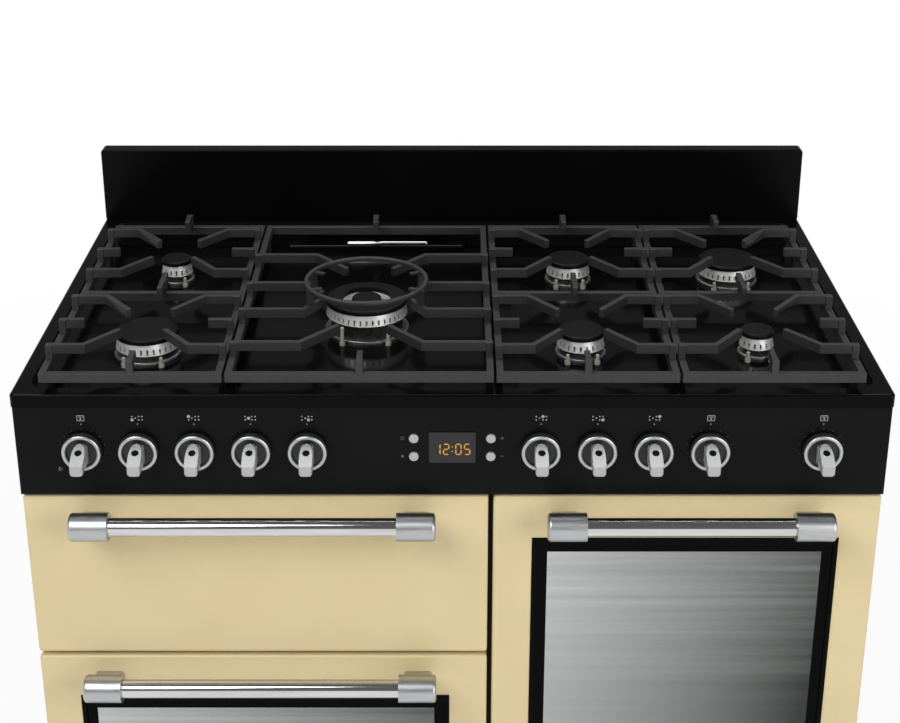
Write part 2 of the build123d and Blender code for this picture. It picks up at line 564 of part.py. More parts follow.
def casing_panels():
    """Two side panels with folded rear edges, and the slotted back panel."""
    end = Y_BACK - HOB_CORNER - FREE_CLEAR
    pieces = []
    for side in (-1, 1):
        x0, x1 = sorted((side * X_INSIDE, side * X_SIDE))
        sheet = block(x0, x1, Y_FRAME, end, CASING_BOTTOM, Z_RIM - SHEET)
        x0, x1 = sorted((side * (X_SIDE - FLANGE), side * X_SIDE))
        fold = block(x0, x1, end - SHEET, end, CASING_BOTTOM, Z_RIM - LIP)
        pieces.append(joined([sheet, fold]))
    back = block(-X_INSIDE, X_INSIDE, Y_REAR_PANEL - SHEET, Y_REAR_PANEL, BASE_RISE, Z_RIM - LIP)
    cutters = []
    for bank in (-1, 1):
        for i in range(VENT_SLOTS):
            slot = Plane.XZ * SlotOverall(VENT_LENGTH, VENT_WIDTH)
            z = HOB_HEIGHT / 2 + (i - VENT_SLOTS / 2) * VENT_PITCH
            cutters.append(Pos(bank * WIDTH / 4, Y_REAR_PANEL + SHEET, z) * extrude(slot, amount=3 * SHEET))
        cutters.append(bar_y(bank * ANCHOR_SPACING / 2, Z_RIM - ANCHOR_DROP, Y_REAR_PANEL - 2 * SHEET,
                             Y_REAR_PANEL + SHEET, ANCHOR_RADIUS))
    pipe_x = X_SIDE - RAIL_END - PIPE_RADIUS - RAIL_WALL
    cutters.append(bar_y(pipe_x, Z_KNOB, Y_REAR_PANEL - 2 * SHEET, Y_REAR_PANEL + SHEET,
                         PIPE_RADIUS + FREE_CLEAR))
    pieces.append(cut(back, cutters))
    return group(pieces)


def base_pan():
    """The floor tray between the side panels."""
    tray = block(-X_INSIDE, X_INSIDE, Y_CAVITY, Y_REAR_PANEL - SHEET, BASE_RISE, BASE_RISE + FLANGE)
    return offset(tray, amount=-SHEET, openings=tray.faces().sort_by(Axis.Z)[-1])


def plinth():
    """The kick panel below the doors."""
    tray = block(-X_SIDE, X_SIDE, Y_FRAME - PLINTH_DEPTH, Y_FRAME, CASING_BOTTOM, PLINTH_TOP)
    tray = fillet(tray.faces().sort_by(Axis.Y)[0].edges(), PANEL_EDGE)
    return offset(tray, amount=-SHEET, openings=tray.faces().sort_by(Axis.Y)[-1])


def levelling_feet():
    """Four feet, a pad and a rod each."""
    pieces = []
    for side in (-1, 1):
        for y in (Y_FRAME + FOOT_INSET, Y_REAR_PANEL - FOOT_INSET):
            x = side * (X_SIDE - FOOT_INSET)
            pad = bar_z(x, y, 0, FOOT_PAD, FOOT_RADIUS)
            pad = fillet(pad.faces().sort_by(Axis.Z)[-1].edges(), FOOT_PAD / 3)
            pieces.append(joined([pad, bar_z(x, y, FOOT_PAD / 2, BASE_RISE, FOOT_ROD)]))
    return group(pieces)


def cup_neck(cap):
    """Radius of the burner cup where it passes the hob."""
    return cap - CUP_NECK_IN


def crown_rise(cap):
    """Height of a flame spreader above the cup rim."""
    return WOK_CROWN_RISE if cap == CAP_WOK else CROWN_RISE


def burner_cup(x, y, cap):
    """The cup: a rim on the hob, and a bowl below with its injector boss."""
    neck = cup_neck(cap)
    rim = bar_z(x, y, Z_WELL, Z_WELL + CUP_RIM, cap + CUP_RIM_OUT)
    rim = fillet(rim.faces().sort_by(Axis.Z)[-1].edges(), CUP_RIM / 2)
    bowl = bar_z(x, y, Z_WELL - CUP_DEPTH, Z_WELL + CUP_RIM / 2, neck)
    boss = bar_z(x, y, Z_WELL - 1.5 * CUP_DEPTH, Z_WELL - CUP_DEPTH / 2, neck / 3)
    inside = bar_z(x, y, Z_WELL - CUP_DEPTH + CUP_WALL, Z_WELL + CUP_RIM, neck - CUP_WALL)
    throat = bar_z(x, y, Z_WELL - 2 * CUP_DEPTH, Z_WELL, neck / 8)
    return joined([joined([rim, bowl]) - inside, boss]) - throat


def flame_spreader(x, y, cap):
    """The crown: a tapered rim with a row of flame ports above a waist, on a spigot in the cup."""
    low = Z_WELL + CUP_RIM
    high = low + crown_rise(cap)
    waist = high - CROWN_TALL
    spigot = cup_neck(cap) - CUP_WALL - SEAT_CLEAR
    body = Pos(x, y, (waist + high) / 2) * Cone(cap, cap - CROWN_TAPER, CROWN_TALL)
    body += bar_z(x, y, low, waist, cap - WAIST_IN)
    body += bar_z(x, y, low - CUP_DEPTH / 2, low, spigot)
    hollow = spigot - CROWN_WALL
    if cap == CAP_WOK:
        inner = WOK_CENTRE_CAP - CAP_OVER
        body -= bar_z(x, y, waist, high, WOK_CAP_HOLE)
        body += bar_z(x, y, low, high, inner)
        body -= bar_z(x, y, low - CUP_DEPTH, high, inner - CROWN_WALL)
        hollow = WOK_CAP_HOLE
    else:
        body -= bar_z(x, y, low - CUP_DEPTH, high, hollow)
    ports = int(2 * pi * cap / PORT_PITCH)
    depth = cap - hollow + CROWN_WALL / 2
    level = waist + PORT_LIFT + PORT_TALL / 2
    cutters = []
    for i in range(ports):
        port = Pos(cap, 0, level) * Box(2 * depth, PORT_WIDTH, PORT_TALL)
        cutters.append(Pos(x, y, 0) * Rot(0, 0, 360 * i / ports) * port)
    return cut(body, cutters)


def burner_cap(x, y, cap):
    """The enamelled cap; the wok burner has a ring and a centre disc."""
    low = Z_WELL + CUP_RIM + crown_rise(cap)
    disc = bar_z(x, y, low, low + CAP_THICK, cap - CROWN_TAPER + CAP_OVER)
    disc = fillet(disc.faces().sort_by(Axis.Z)[-1].edges(), CAP_EDGE)
    if cap != CAP_WOK:
        return [disc]
    ring = disc - bar_z(x, y, low, low + CAP_THICK, WOK_CAP_HOLE)
    centre = bar_z(x, y, low, low + CAP_THICK, WOK_CENTRE_CAP)
    return [ring, fillet(centre.faces().sort_by(Axis.Z)[-1].edges(), CAP_EDGE)]


def ignition_pins(x, y, cap):
    """A spark electrode and a flame sensor at the front of a burner."""
    reach = cap + PIN_MARGIN
    top = Z_WELL + CUP_RIM + crown_rise(cap) - CROWN_TALL + PORT_LIFT
    pins = []
    for angle in (-90 - PIN_ANGLE, -90 + PIN_ANGLE):
        px = x + reach * cos(radians(angle))
        py = y + reach * sin(radians(angle))
        collar = bar_z(px, py, Z_WELL, Z_WELL + CUP_RIM, PIN_RADIUS + SHEET)
        pin = bar_z(px, py, Z_WELL, top, PIN_RADIUS)
        pins.append(joined([collar, fillet(pin.faces().sort_by(Axis.Z)[-1].edges(), PIN_RADIUS / 2)]))
    return pins


def finger(points):
    """A support finger along a bent line, standing above the frame."""
    line = Polyline(*points)
    return Pos(0, 0, Z_RIM + FINGER_TOP - FINGER_TALL) * extrude(trace(line, FINGER_WIDTH), FINGER_TALL)


def riser(x, y):
    """A post that carries a finger on the frame."""
    half = BAR_WIDTH / 2
    return block(x - half, x + half, y - half, y + half, Z_RIM + FRAME_TOP - BAR_TALL, Z_RIM + FINGER_TOP)


def corner_fingers(edges, y, spread, bend, tip_x, tip_y):
    """Four fingers that run in from the side rails and bend towards a burner."""
    x0, x1 = edges
    x = (x0 + x1) / 2
    pieces = []
    for side, rail in ((-1, x0 + BAR_WIDTH / 2), (1, x1 - BAR_WIDTH / 2)):
        for way in (-1, 1):
            level = y + way * spread
            pieces.append(riser(rail, level))
            pieces.append(finger([(rail, level), (x + side * bend, level), (x + side * tip_x, y + way * tip_y)]))
    return pieces


def stub(x, y, along_x, along_y):
    """A short raised finger that starts on a bar."""
    return [riser(x, y), finger([(x, y), (x + along_x, y + along_y)])]


def support_frame(edges, crossbars):
    """The low frame of a support with its feet on the hob."""
    x0, x1 = edges
    low = Z_RIM + FRAME_TOP - BAR_TALL
    high = Z_RIM + FRAME_TOP
    pieces = [block(x0, x0 + BAR_WIDTH, SUPPORT_Y0, SUPPORT_Y1, low, high),
              block(x1 - BAR_WIDTH, x1, SUPPORT_Y0, SUPPORT_Y1, low, high)]
    half = BAR_WIDTH / 2
    for y in crossbars:
        pieces.append(block(x0, x1, y - half, y + half, low, high))
    for x in (x0 + half, x1 - half):
        for y in (SUPPORT_Y0 + SUPPORT_FOOT, SUPPORT_Y1 - SUPPORT_FOOT):
            pieces.append(block(x - half, x + half, y - half, y + half, Z_WELL, high))
    return pieces


def double_support(edges):
    """A pan support over two burners."""
    half = BAR_WIDTH / 2
    x = sum(edges) / 2
    bars = (SUPPORT_Y0 + half, SUPPORT_MIDDLE, SUPPORT_Y1 - half)
    pieces = support_frame(edges, bars)
    for y in (ROW_FRONT, ROW_REAR):
        pieces += corner_fingers(edges, y, FINGER_SPREAD, FINGER_BEND, FINGER_TIP_X, FINGER_TIP_Y)
        pieces += stub(edges[0] + half, y, STUB_LENGTH, 0)
        pieces += stub(edges[1] - half, y, -STUB_LENGTH, 0)
    pieces += stub(x, bars[0], 0, STUB_LENGTH)
    pieces += stub(x, bars[1], 0, STUB_LENGTH)
    pieces += stub(x, bars[1], 0, -STUB_LENGTH)
    pieces += stub(x, bars[2], 0, -STUB_LENGTH)
    return joined(pieces)


def wok_support():
    """The pan support over the wok burner, with side fingers that carry the ring."""
    half = BAR_WIDTH / 2
    bars = (SUPPORT_Y0 + half, SUPPORT_Y1 - half)
    pieces = support_frame(SUPPORT_WOK, bars)
    pieces += corner_fingers(SUPPORT_WOK, WOK_Y, WOK_SPREAD, WOK_BEND, WOK_TIP_X, WOK_TIP_Y)
    pieces += corner_fingers(SUPPORT_WOK, WOK_Y, WOK_SIDE_SPREAD, WOK_SIDE_BEND, WOK_SIDE_TIP_X, WOK_SIDE_TIP_Y)
    pieces += stub(WOK_X, bars[0], 0, STUB_LENGTH)
    pieces += stub(WOK_X, bars[1], 0, -STUB_LENGTH)
    return joined(pieces)


def wok_ring():
    """The loose ring that steadies a wok, with lugs, on legs over the side fingers."""
    top = Z_RIM + FINGER_TOP + WOK_RING_RISE
    low = top - WOK_RING_TALL
    across = WOK_SIDE_BEND + (WOK_SIDE_TIP_X - WOK_SIDE_BEND) * WOK_LEG_AT
    along = WOK_SIDE_SPREAD + (WOK_SIDE_TIP_Y - WOK_SIDE_SPREAD) * WOK_LEG_AT
    radius = hypot(across, along)
    half = WOK_RING_WIDTH / 2
    ring = bar_z(WOK_X, WOK_Y, low, top, radius + half) - bar_z(WOK_X, WOK_Y, low, top, radius - half)
    ring = fillet(ring.faces().sort_by(Axis.Z)[-1].edges(), WOK_RING_WIDTH / 3)
    pieces = [ring]
    turn = degrees(atan2(along, across))
    leg = WOK_LEG / 2
    for angle in (turn, 180 - turn, 180 + turn, -turn):
        place = Pos(WOK_X, WOK_Y, 0) * Rot(0, 0, angle)
        pieces.append(place * block(radius - leg, radius + leg, -half, half, Z_RIM + FINGER_TOP, (low + top) / 2))
        pieces.append(place * block(radius - WOK_LUG, radius, -half, half, low, (low + top) / 2))
    return joined(pieces)


def hinge_places(door, vertical):
    """Centres of the two hinge arms along a door's hinge edge."""
    x0, x1, z0, z1 = door
    return (z0 + HINGE_INSET, z1 - HINGE_INSET) if vertical else (x0 + HINGE_INSET, x1 - HINGE_INSET)


def hinge_box(door, edge, place, along, y0, y1, inner, outer):
    """A box round a hinge arm: along the pin, front to back, and across towards the edge."""
    x0, x1, z0, z1 = door
    if edge == "low":
        axis = z0 + HINGE_IN
        return block(place - along, place + along, y0, y1, axis - outer, axis + inner)
    side = 1 if edge == "right" else -1
    axis = x1 - HINGE_IN if edge == "right" else x0 + HINGE_IN
    a, b = sorted((axis - side * inner, axis + side * outer))
    return block(a, b, y0, y1, place - along, place + along)


def hinge_bar(door, edge, place, along, radius):
    """A round bar on a door's hinge axis."""
    x0, x1, z0, z1 = door
    if edge == "low":
        return bar_x(Y_HINGE, z0 + HINGE_IN, place - along, place + along, radius)
    axis = x1 - HINGE_IN if edge == "right" else x0 + HINGE_IN
    return bar_z(axis, Y_HINGE, place - along, place + along, radius)


def door_slots(door, edge):
    """The cut in a door's hinge edge that an arm swings through."""
    room = HINGE_EYE + HINGE_SLOT
    slots = []
    for place in hinge_places(door, edge != "low"):
        slots.append(hinge_box(door, edge, place, HINGE_ARM / 2 + HINGE_SLOT, Y_HINGE - room,
                               Y_DOOR_BACK + SHEET, room, HINGE_IN + SHEET))
    return slots


def door_panel(door, edge, windowed):
    """The enamelled outer panel: a tray open at the back."""
    x0, x1, z0, z1 = door
    tray = rounded_y(x0, x1, Y_DOOR, Y_DOOR + DOOR_RETURN, z0, z1, DOOR_EDGE)
    tray = fillet(tray.faces().sort_by(Axis.Y)[0].edges(), DOOR_EDGE * 0.75)
    tray = offset(tray, amount=-SHEET, openings=tray.faces().sort_by(Axis.Y)[-1])
    cutters = door_slots(door, edge)
    if windowed:
        a, b, c, d = window_of(door)
        cutters.append(rounded_y(a, b, Y_DOOR - SHEET, Y_DOOR + 2 * SHEET, c, d, WINDOW_CORNER))
    return cut(tray, cutters)


def door_liner(door, edge, windowed):
    """The inner tray of a door, with the ears that turn on the hinge pins."""
    x0, x1, z0, z1 = door
    front = Y_DOOR + SHEET
    tray = block(x0 + LINER_INSET, x1 - LINER_INSET, front, Y_DOOR_BACK, z0 + LINER_INSET, z1 - LINER_INSET)
    tray = fillet(tray.edges().filter_by(Axis.Y), DOOR_EDGE)
    tray = offset(tray, amount=-SHEET, openings=tray.faces().sort_by(Axis.Y)[0])
    slots = door_slots(door, edge)
    if windowed:
        a, b, c, d = window_of(door)
        inset = INNER_WINDOW_IN
        slots.append(rounded_y(a + inset, b - inset, Y_DOOR_BACK - 2 * SHEET, Y_DOOR_BACK + SHEET,
                               c + inset, d - inset, WINDOW_CORNER))
    tray = cut(tray, slots)
    ears = []
    holes = []
    near = HINGE_ARM / 2 + HINGE_SLOT
    wall = HINGE_IN - LINER_INSET
    for place in hinge_places(door, edge != "low"):
        long = near + HINGE_EAR
        ear = hinge_box(door, edge, place, long, front, Y_HINGE + HINGE_EYE, HINGE_EYE, wall)
        ears.append(ear - hinge_box(door, edge, place, near, front, Y_DOOR_BACK, 2 * HINGE_IN, HINGE_IN))
        holes.append(hinge_bar(door, edge, place, long + SHEET, HINGE_PIN + RUN_CLEAR))
    return cut(joined([tray] + ears), holes)


def door_hinge_arms():
    """Fixed arms on the front frame, each with its pin."""
    pieces = []
    for door, edge in ((GRILL_DOOR, "low"), (LEFT_DOOR, "left"), (RIGHT_DOOR, "right")):
        for place in hinge_places(door, edge != "low"):
            half = HINGE_ARM / 2
            strap = hinge_box(door, edge, place, half, Y_HINGE, Y_FRAME, HINGE_EYE * 0.7, HINGE_EYE * 0.7)
            foot = hinge_box(door, edge, place, HINGE_FOOT_SIZE / 2, Y_FRAME - HINGE_FOOT, Y_FRAME,
                             HINGE_EYE, HINGE_EYE)
            eye = hinge_bar(door, edge, place, half, HINGE_EYE)
            pin = hinge_bar(door, edge, place, half + HINGE_SLOT + HINGE_EAR, HINGE_PIN)
            pieces.append(joined([strap, foot, eye, pin]))
    return group(pieces)


def door_glass(door):
    """The outer pane behind the panel and the inner pane on the liner."""
    a, b, c, d = window_of(door)
    front = Y_DOOR + SHEET
    lap = GLASS_LAP
    outer = block(a - lap, b + lap, front, front + GLASS_THICK, c - lap, d + lap)
    back = Y_DOOR_BACK - SHEET
    lap = GLASS_LAP - INNER_WINDOW_IN
    inner = block(a - lap, b + lap, back - GLASS_THICK, back, c - lap, d + lap)
    return group([outer, inner])


def door_handle(door):
    """A tube between two cast ends on the door."""
    x0, x1, z0, z1 = door
    y = Y_DOOR - HANDLE_STANDOFF
    z = z1 - HANDLE_DROP
    a = x0 + HANDLE_INSET
    b = x1 - HANDLE_INSET
    pieces = []
    for outer, way in ((a, 1), (b, -1)):
        inner = outer + way * HANDLE_END_LENGTH
        lo, hi = sorted((outer, inner))
        barrel = bar_x(y, z, lo, hi, HANDLE_END_RADIUS)
        ends = barrel.faces().filter_by(GeomType.PLANE).sort_by(Axis.X)
        tip, mouth = (ends[0], ends[-1]) if way > 0 else (ends[-1], ends[0])
        barrel = fillet(tip.edges(), HANDLE_END_EDGE)
        middle = (lo + hi) / 2
        half = HANDLE_LEG_WIDTH / 2
        tall = HANDLE_LEG_TALL / 2
        level = z - HANDLE_LEG_DROP
        leg = block(middle - half, middle + half, y, Y_DOOR, level - tall, level + tall)
        leg = fillet(leg.edges().filter_by(Axis.Y), HANDLE_END_EDGE)
        end = joined([barrel, leg])
        lo, hi = sorted((inner, inner - way * HANDLE_SOCKET))
        pieces.append(end - bar_x(y, z, lo, hi, HANDLE_BAR + RUN_CLEAR))
    reach = HANDLE_END_LENGTH - HANDLE_SOCKET
    tube = bar_x(y, z, a + reach, b - reach, HANDLE_BAR)
    pieces.append(tube - bar_x(y, z, a + reach, b - reach, HANDLE_BAR - HANDLE_BAR_WALL))
    return group(pieces)


def door_seals():
    """A gasket round each oven mouth, on the front frame."""
    pieces = []
    for door in (GRILL_DOOR, LEFT_DOOR, RIGHT_DOOR):
        x0, x1, z0, z1 = cavity_of(door)
        wide = SEAL_WIDTH
        y0 = Y_DOOR_BACK + SEAT_CLEAR
        ring = rounded_y(x0 - wide, x1 + wide, y0, Y_FRAME, z0 - wide, z1 + wide, CAVITY_CORNER + wide)
        ring -= rounded_y(x0, x1, y0 - SHEET, Y_FRAME + SHEET, z0, z1, CAVITY_CORNER)
        pieces.append(ring)
    return group(pieces)


def runner_level(z0, i):
    """Height of a pair of shelf runners."""
    return z0 + RUNNER_PITCH * (i + 1)


def oven_liner(door, runners):
    """An oven cavity, open at the front, with pressed shelf runners."""
    x0, x1, z0, z1 = cavity_of(door)
    y1 = Y_CAVITY + CAVITY_DEPTH
    box = block(x0 - SHEET, x1 + SHEET, Y_CAVITY, y1 + SHEET, z0 - SHEET, z1 + SHEET)
    inside = rounded_y(x0, x1, Y_CAVITY - SHEET, y1, z0, z1, CAVITY_CORNER)
    pieces = [box - inside]
    size = RUNNER_SIZE
    for i in range(runners):
        z = runner_level(z0, i)
        pieces.append(block(x0 - SHEET, x0 + size, Y_CAVITY + SHELF_FRONT / 2, y1, z - size, z))
        pieces.append(block(x1 - size, x1 + SHEET, Y_CAVITY + SHELF_FRONT / 2, y1, z - size, z))
    return joined(pieces)


def fan_axis():
    """The fan's axis in the right oven: X and Z."""
    x0, x1, z0, z1 = cavity_of(RIGHT_DOOR)
    return (x0 + x1) / 2, z1 - FAN_DROP


def right_oven_liner():
    """The tall oven's cavity with the fan shaft's hole."""
    x, z = fan_axis()
    y = Y_CAVITY + CAVITY_DEPTH
    return oven_liner(RIGHT_DOOR, 2 * RUNNER_COUNT) - bar_y(x, z, y - SHEET, y + 2 * SHEET, FAN_SHAFT + FREE_CLEAR)


def oven_shelf(door, level):
    """A wire shelf on a pair of runners."""
    x0, x1, z0, z1 = cavity_of(door)
    a = x0 + SHELF_SIDE + SHELF_WIRE
    b = x1 - SHELF_SIDE - SHELF_WIRE
    y0 = Y_CAVITY + SHELF_FRONT
    y1 = Y_CAVITY + CAVITY_DEPTH - SHELF_REAR
    z = runner_level(z0, level) + SHELF_WIRE
    wire = SHELF_WIRE
    pieces = [block(a - wire, a + wire, y0, y1, z - wire, z + wire),
              block(b - wire, b + wire, y0, y1, z - wire, z + wire)]
    for y in (y0 + wire, y1 - wire):
        pieces.append(block(a, b, y - wire, y + wire, z - wire, z + wire))
    count = int((b - a) / SHELF_BAR_PITCH)
    for i in range(1, count):
        x = a + (b - a) * i / count
        pieces.append(bar_y(x, z, y0 + wire, y1 - wire, SHELF_BAR))
    return joined(pieces)


def roof_element(door):
    """A bent heating rod under a cavity's roof, ends in the rear wall."""
    x0, x1, z0, z1 = cavity_of(door)
    z = z1 - ELEMENT_DROP
    back = Y_CAVITY + CAVITY_DEPTH
    y0 = Y_CAVITY + ELEMENT_FRONT
    y1 = back - ELEMENT_FRONT
    a = x0 + ELEMENT_SIDE
    b = x1 - ELEMENT_SIDE
    step = (b - a) / 5
    points = [(a + step * 2.25, back, z), (a + step * 2.25, y1, z), (a, y1, z), (a, y0, z)]
    points += [(a + step, y0, z), (a + step, y1 - ELEMENT_SIDE, z), (b - step, y1 - ELEMENT_SIDE, z)]
    points += [(b - step, y0, z), (b, y0, z), (b, y1, z), (b - step * 2.25, y1, z), (b - step * 2.25, back, z)]
    path = FilletPolyline(*points, radius=ELEMENT_DROP)
    return sweep(Plane(origin=path @ 0, z_dir=path % 0) * Circle(ELEMENT_RADIUS), path=path)


def ring_element():
    """The ring heating rod round the fan, on two leads from the rear wall."""
    x, z = fan_axis()
    back = Y_CAVITY + CAVITY_DEPTH
    y = back - RING_OFF_WALL
    ring = Pos(x, y, z) * Rot(90, 0, 0) * Torus(RING_ELEMENT, ELEMENT_RADIUS)
    gap = ELEMENT_RADIUS * 6
    leads = [bar_y(x + side * gap, z + (RING_ELEMENT ** 2 - gap ** 2) ** 0.5, y, back, ELEMENT_LEAD)
             for side in (-1, 1)]
    return joined([ring] + leads)


def fan_impeller():
    """The oven fan: a disc with blades on a shaft into the motor."""
    x, z = fan_axis()
    wall = Y_CAVITY + CAVITY_DEPTH
    y = wall - FAN_OFF_WALL
    disc = bar_y(x, z, y - FAN_DISC, y, FAN_RADIUS)
    hub = bar_y(x, z, y - FAN_BLADE_TALL / 2, y, FAN_HUB)
    shaft = bar_y(x, z, y - FAN_DISC, wall + SHEET + MOTOR_LENGTH * 0.7, FAN_SHAFT)
    pieces = [disc, hub, shaft]
    for i in range(FAN_BLADES):
        blade = Pos(FAN_RADIUS * 0.7, y - FAN_BLADE_TALL / 2, 0) * Rot(0, 25, 0)
        blade *= Box(FAN_RADIUS * 0.5, FAN_BLADE_TALL, FAN_DISC)
        pieces.append(Pos(x, 0, z) * Rot(0, 360 * i / FAN_BLADES, 0) * blade)
    return joined(pieces)


def fan_housing():
    """The motor behind the rear wall and the baffle in front of the fan."""
    x, z = fan_axis()
    wall = Y_CAVITY + CAVITY_DEPTH
    motor = bar_y(x, z, wall + SHEET, wall + SHEET + MOTOR_LENGTH, MOTOR_RADIUS)
    motor = fillet(motor.faces().sort_by(Axis.Y)[-1].edges(), MOTOR_RADIUS / 6)
    motor -= bar_y(x, z, wall, wall + SHEET + MOTOR_LENGTH * 0.8, FAN_SHAFT + RUN_CLEAR)
    half = BAFFLE_SIZE / 2
    tray = rounded_y(x - half, x + half, wall - BAFFLE_DEPTH, wall, z - half, z + half, CAVITY_CORNER)
    tray = offset(tray, amount=-SHEET, openings=tray.faces().sort_by(Axis.Y)[-1])
    cutters = [bar_y(x, z, wall - 2 * BAFFLE_DEPTH, wall - BAFFLE_DEPTH / 2, BAFFLE_HOLE)]
    for side in (-1, 1):
        for i in range(-2, 3):
            level = z + i * BAFFLE_SIZE / 6
            cutters.append(Pos(x + side * half, wall - BAFFLE_DEPTH / 2, level)
                           * Box(4 * SHEET, BAFFLE_DEPTH / 3, BAFFLE_SIZE / 10))
    return group([motor, cut(tray, cutters)])


def build_nodes():
    """Every node by name."""
    nodes = {
        "hob_top": hob_top(),
        "splashback": splashback(),
        "control_panel": control_panel(),
        "clock_module": clock_module(),
        "gas_rail_and_taps": gas_rail_and_taps(),
        "front_frame": front_frame(),
        "casing_panels": casing_panels(),
        "base_pan": base_pan(),
        "plinth": plinth(),
        "levelling_feet": levelling_feet(),
        "burner_cups": group([burner_cup(*place) for place in ALL_BURNERS]),
        "flame_spreaders": group([flame_spreader(*place) for place in ALL_BURNERS]),
        "burner_caps": group([cap for place in ALL_BURNERS for cap in burner_cap(*place)]),
        "ignition_pins": group([pin for place in ALL_BURNERS for pin in ignition_pins(*place)]),
        "pan_support_left": double_support(SUPPORT_LEFT),
        "pan_support_wok": wok_support(),
        "pan_support_inner": double_support(SUPPORT_INNER),
        "pan_support_right": double_support(SUPPORT_RIGHT),
        "wok_ring": wok_ring(),
        "door_seals": door_seals(),
        "door_hinge_arms": door_hinge_arms(),
        "grill_liner": oven_liner(GRILL_DOOR, 1),
        "left_oven_liner": oven_liner(LEFT_DOOR, RUNNER_COUNT),
        "right_oven_liner": right_oven_liner(),
        "oven_shelves": group([oven_shelf(GRILL_DOOR, 0), oven_shelf(LEFT_DOOR, LOW_RUNNER),
                               oven_shelf(RIGHT_DOOR, LOW_RUNNER), oven_shelf(RIGHT_DOOR, HIGH_RUNNER)]),
        "heating_elements": group([roof_element(GRILL_DOOR), roof_element(LEFT_DOOR), ring_element()]),
        "fan_impeller": fan_impeller(),
        "fan_housing": fan_housing(),
    }
    for i, x in enumerate(KNOB_X):
        nodes["knob_%d" % (i + 1)] = knob(x, i in GAS_KNOBS)
        if i in GAS_KNOBS:
            nodes["tap_stem_%d" % (i + 1)] = tap_stem(x)
    for i, (x, z) in enumerate(BUTTONS):
        nodes["clock_button_%d" % (i + 1)] = clock_button(x, z)
    doors = (("grill", GRILL_DOOR, "low", False), ("left", LEFT_DOOR, "left", True),
             ("right", RIGHT_DOOR, "right", True))
    for name, door, edge, windowed in doors:
        nodes[name + "_door_panel"] = door_panel(door, edge, windowed)
        nodes[name + "_door_liner"] = door_liner(door, edge, windowed)
        nodes[name + "_door_handle"] = door_handle(door)
        if windowed:
            nodes[name + "_door_glass"] = door_glass(door)
    return nodes


for name, shape in build_nodes().items():
    export_step(shape, "parts/%s.step" % name)
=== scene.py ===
# %% [markdown]
# # A range cooker with seven gas burners, two ovens and a grill
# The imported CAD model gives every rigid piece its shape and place, in metres. This lesson dresses
# that frame: each piece gets the finish of the real one. Printed marks, the clock's digits, the
# window trim, lamps, screws, the knobs' index dots and a strip on the flue vent are thin or small,
# so they have no solid of their own and are added here as small meshes.

# %% Load the frame
import math
import bmesh
import bpy
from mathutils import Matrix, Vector


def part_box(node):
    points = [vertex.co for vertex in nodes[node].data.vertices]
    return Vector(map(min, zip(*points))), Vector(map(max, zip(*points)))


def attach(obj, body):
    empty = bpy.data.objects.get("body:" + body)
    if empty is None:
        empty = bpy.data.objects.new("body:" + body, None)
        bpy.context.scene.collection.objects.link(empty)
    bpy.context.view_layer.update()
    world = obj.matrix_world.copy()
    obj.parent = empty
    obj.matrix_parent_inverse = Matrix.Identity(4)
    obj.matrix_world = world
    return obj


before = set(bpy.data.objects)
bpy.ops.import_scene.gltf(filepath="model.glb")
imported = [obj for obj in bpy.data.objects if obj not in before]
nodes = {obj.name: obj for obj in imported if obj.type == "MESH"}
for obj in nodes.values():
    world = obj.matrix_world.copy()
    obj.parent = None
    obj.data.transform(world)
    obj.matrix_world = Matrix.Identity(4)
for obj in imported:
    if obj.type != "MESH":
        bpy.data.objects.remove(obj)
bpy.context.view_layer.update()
MM = 0.001


def box_mm(name):
    """A node's lowest and highest corners, in millimetres."""
    low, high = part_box(name)
    return low / MM, high / MM


def middle_mm(name):
    """The middle of a node's box, in millimetres."""
    low, high = box_mm(name)
    return (low + high) / 2


# %% [markdown]
# ## Helpers for materials
# Paint charts give colours as sRGB hex values, but Blender mixes light in linear values, so one
# function converts them. A second function adds a shader node, sets it and links it. With these
# two, each material below reads as a list of nodes from the surface's texture to its shader.

# %% Colour and node helpers
def linear(hex_code):
    """An sRGB hex colour as linear RGBA."""
    parts = [int(hex_code[i:i + 2], 16) / 255 for i in (1, 3, 5)]
    curve = [c / 12.92 if c <= 0.04045 else ((c + 0.055) / 1.055) ** 2.4 for c in parts]
    return (*curve, 1.0)


def add(tree, kind, settings=None, values=None, links=None):
    """A new shader node with its settings, its socket values and the sockets it reads."""
    made = tree.nodes.new(kind)
    for key, value in (settings or {}).items():
        setattr(made, key, value)
    for key, value in (values or {}).items():
        made.inputs[key].default_value = value
    for key, source in (links or {}).items():
        tree.links.new(source, made.inputs[key])
    return made


def start_material(name, values):
    """A material with one Principled shader, whose constant values are set on its own sockets."""
    material = bpy.data.materials.new(name)
    material.use_nodes = True
    tree = material.node_tree
    tree.nodes.clear()
    shader = add(tree, "ShaderNodeBsdfPrincipled", values=values)
    add(tree, "ShaderNodeOutputMaterial", links={"Surface": shader.outputs["BSDF"]})
    place = add(tree, "ShaderNodeTexCoord").outputs["Object"]
    return material, tree, shader, place


print("red in linear values:", linear("#ff0000"))

# %% [markdown]
# ## Helpers for patterns
# Nearly every finish is a noise of a real size that drives three things: a colour between two
# close tones, a roughness within a range, and a slight bump. Each of the helpers below makes one
# of these from a size in millimetres or a pair of values.

# %% Pattern helpers
def per_mm(size):
    """The texture scale whose features are about this many millimetres across."""
    return 1 / (size * MM)


def noise(tree, place, size, detail=2.0):
    """A noise with features of a size in millimetres."""
    made = add(tree, "ShaderNodeTexNoise", values={"Scale": per_mm(size), "Detail": detail},
               links={"Vector": place})
    return made.outputs["Fac"]


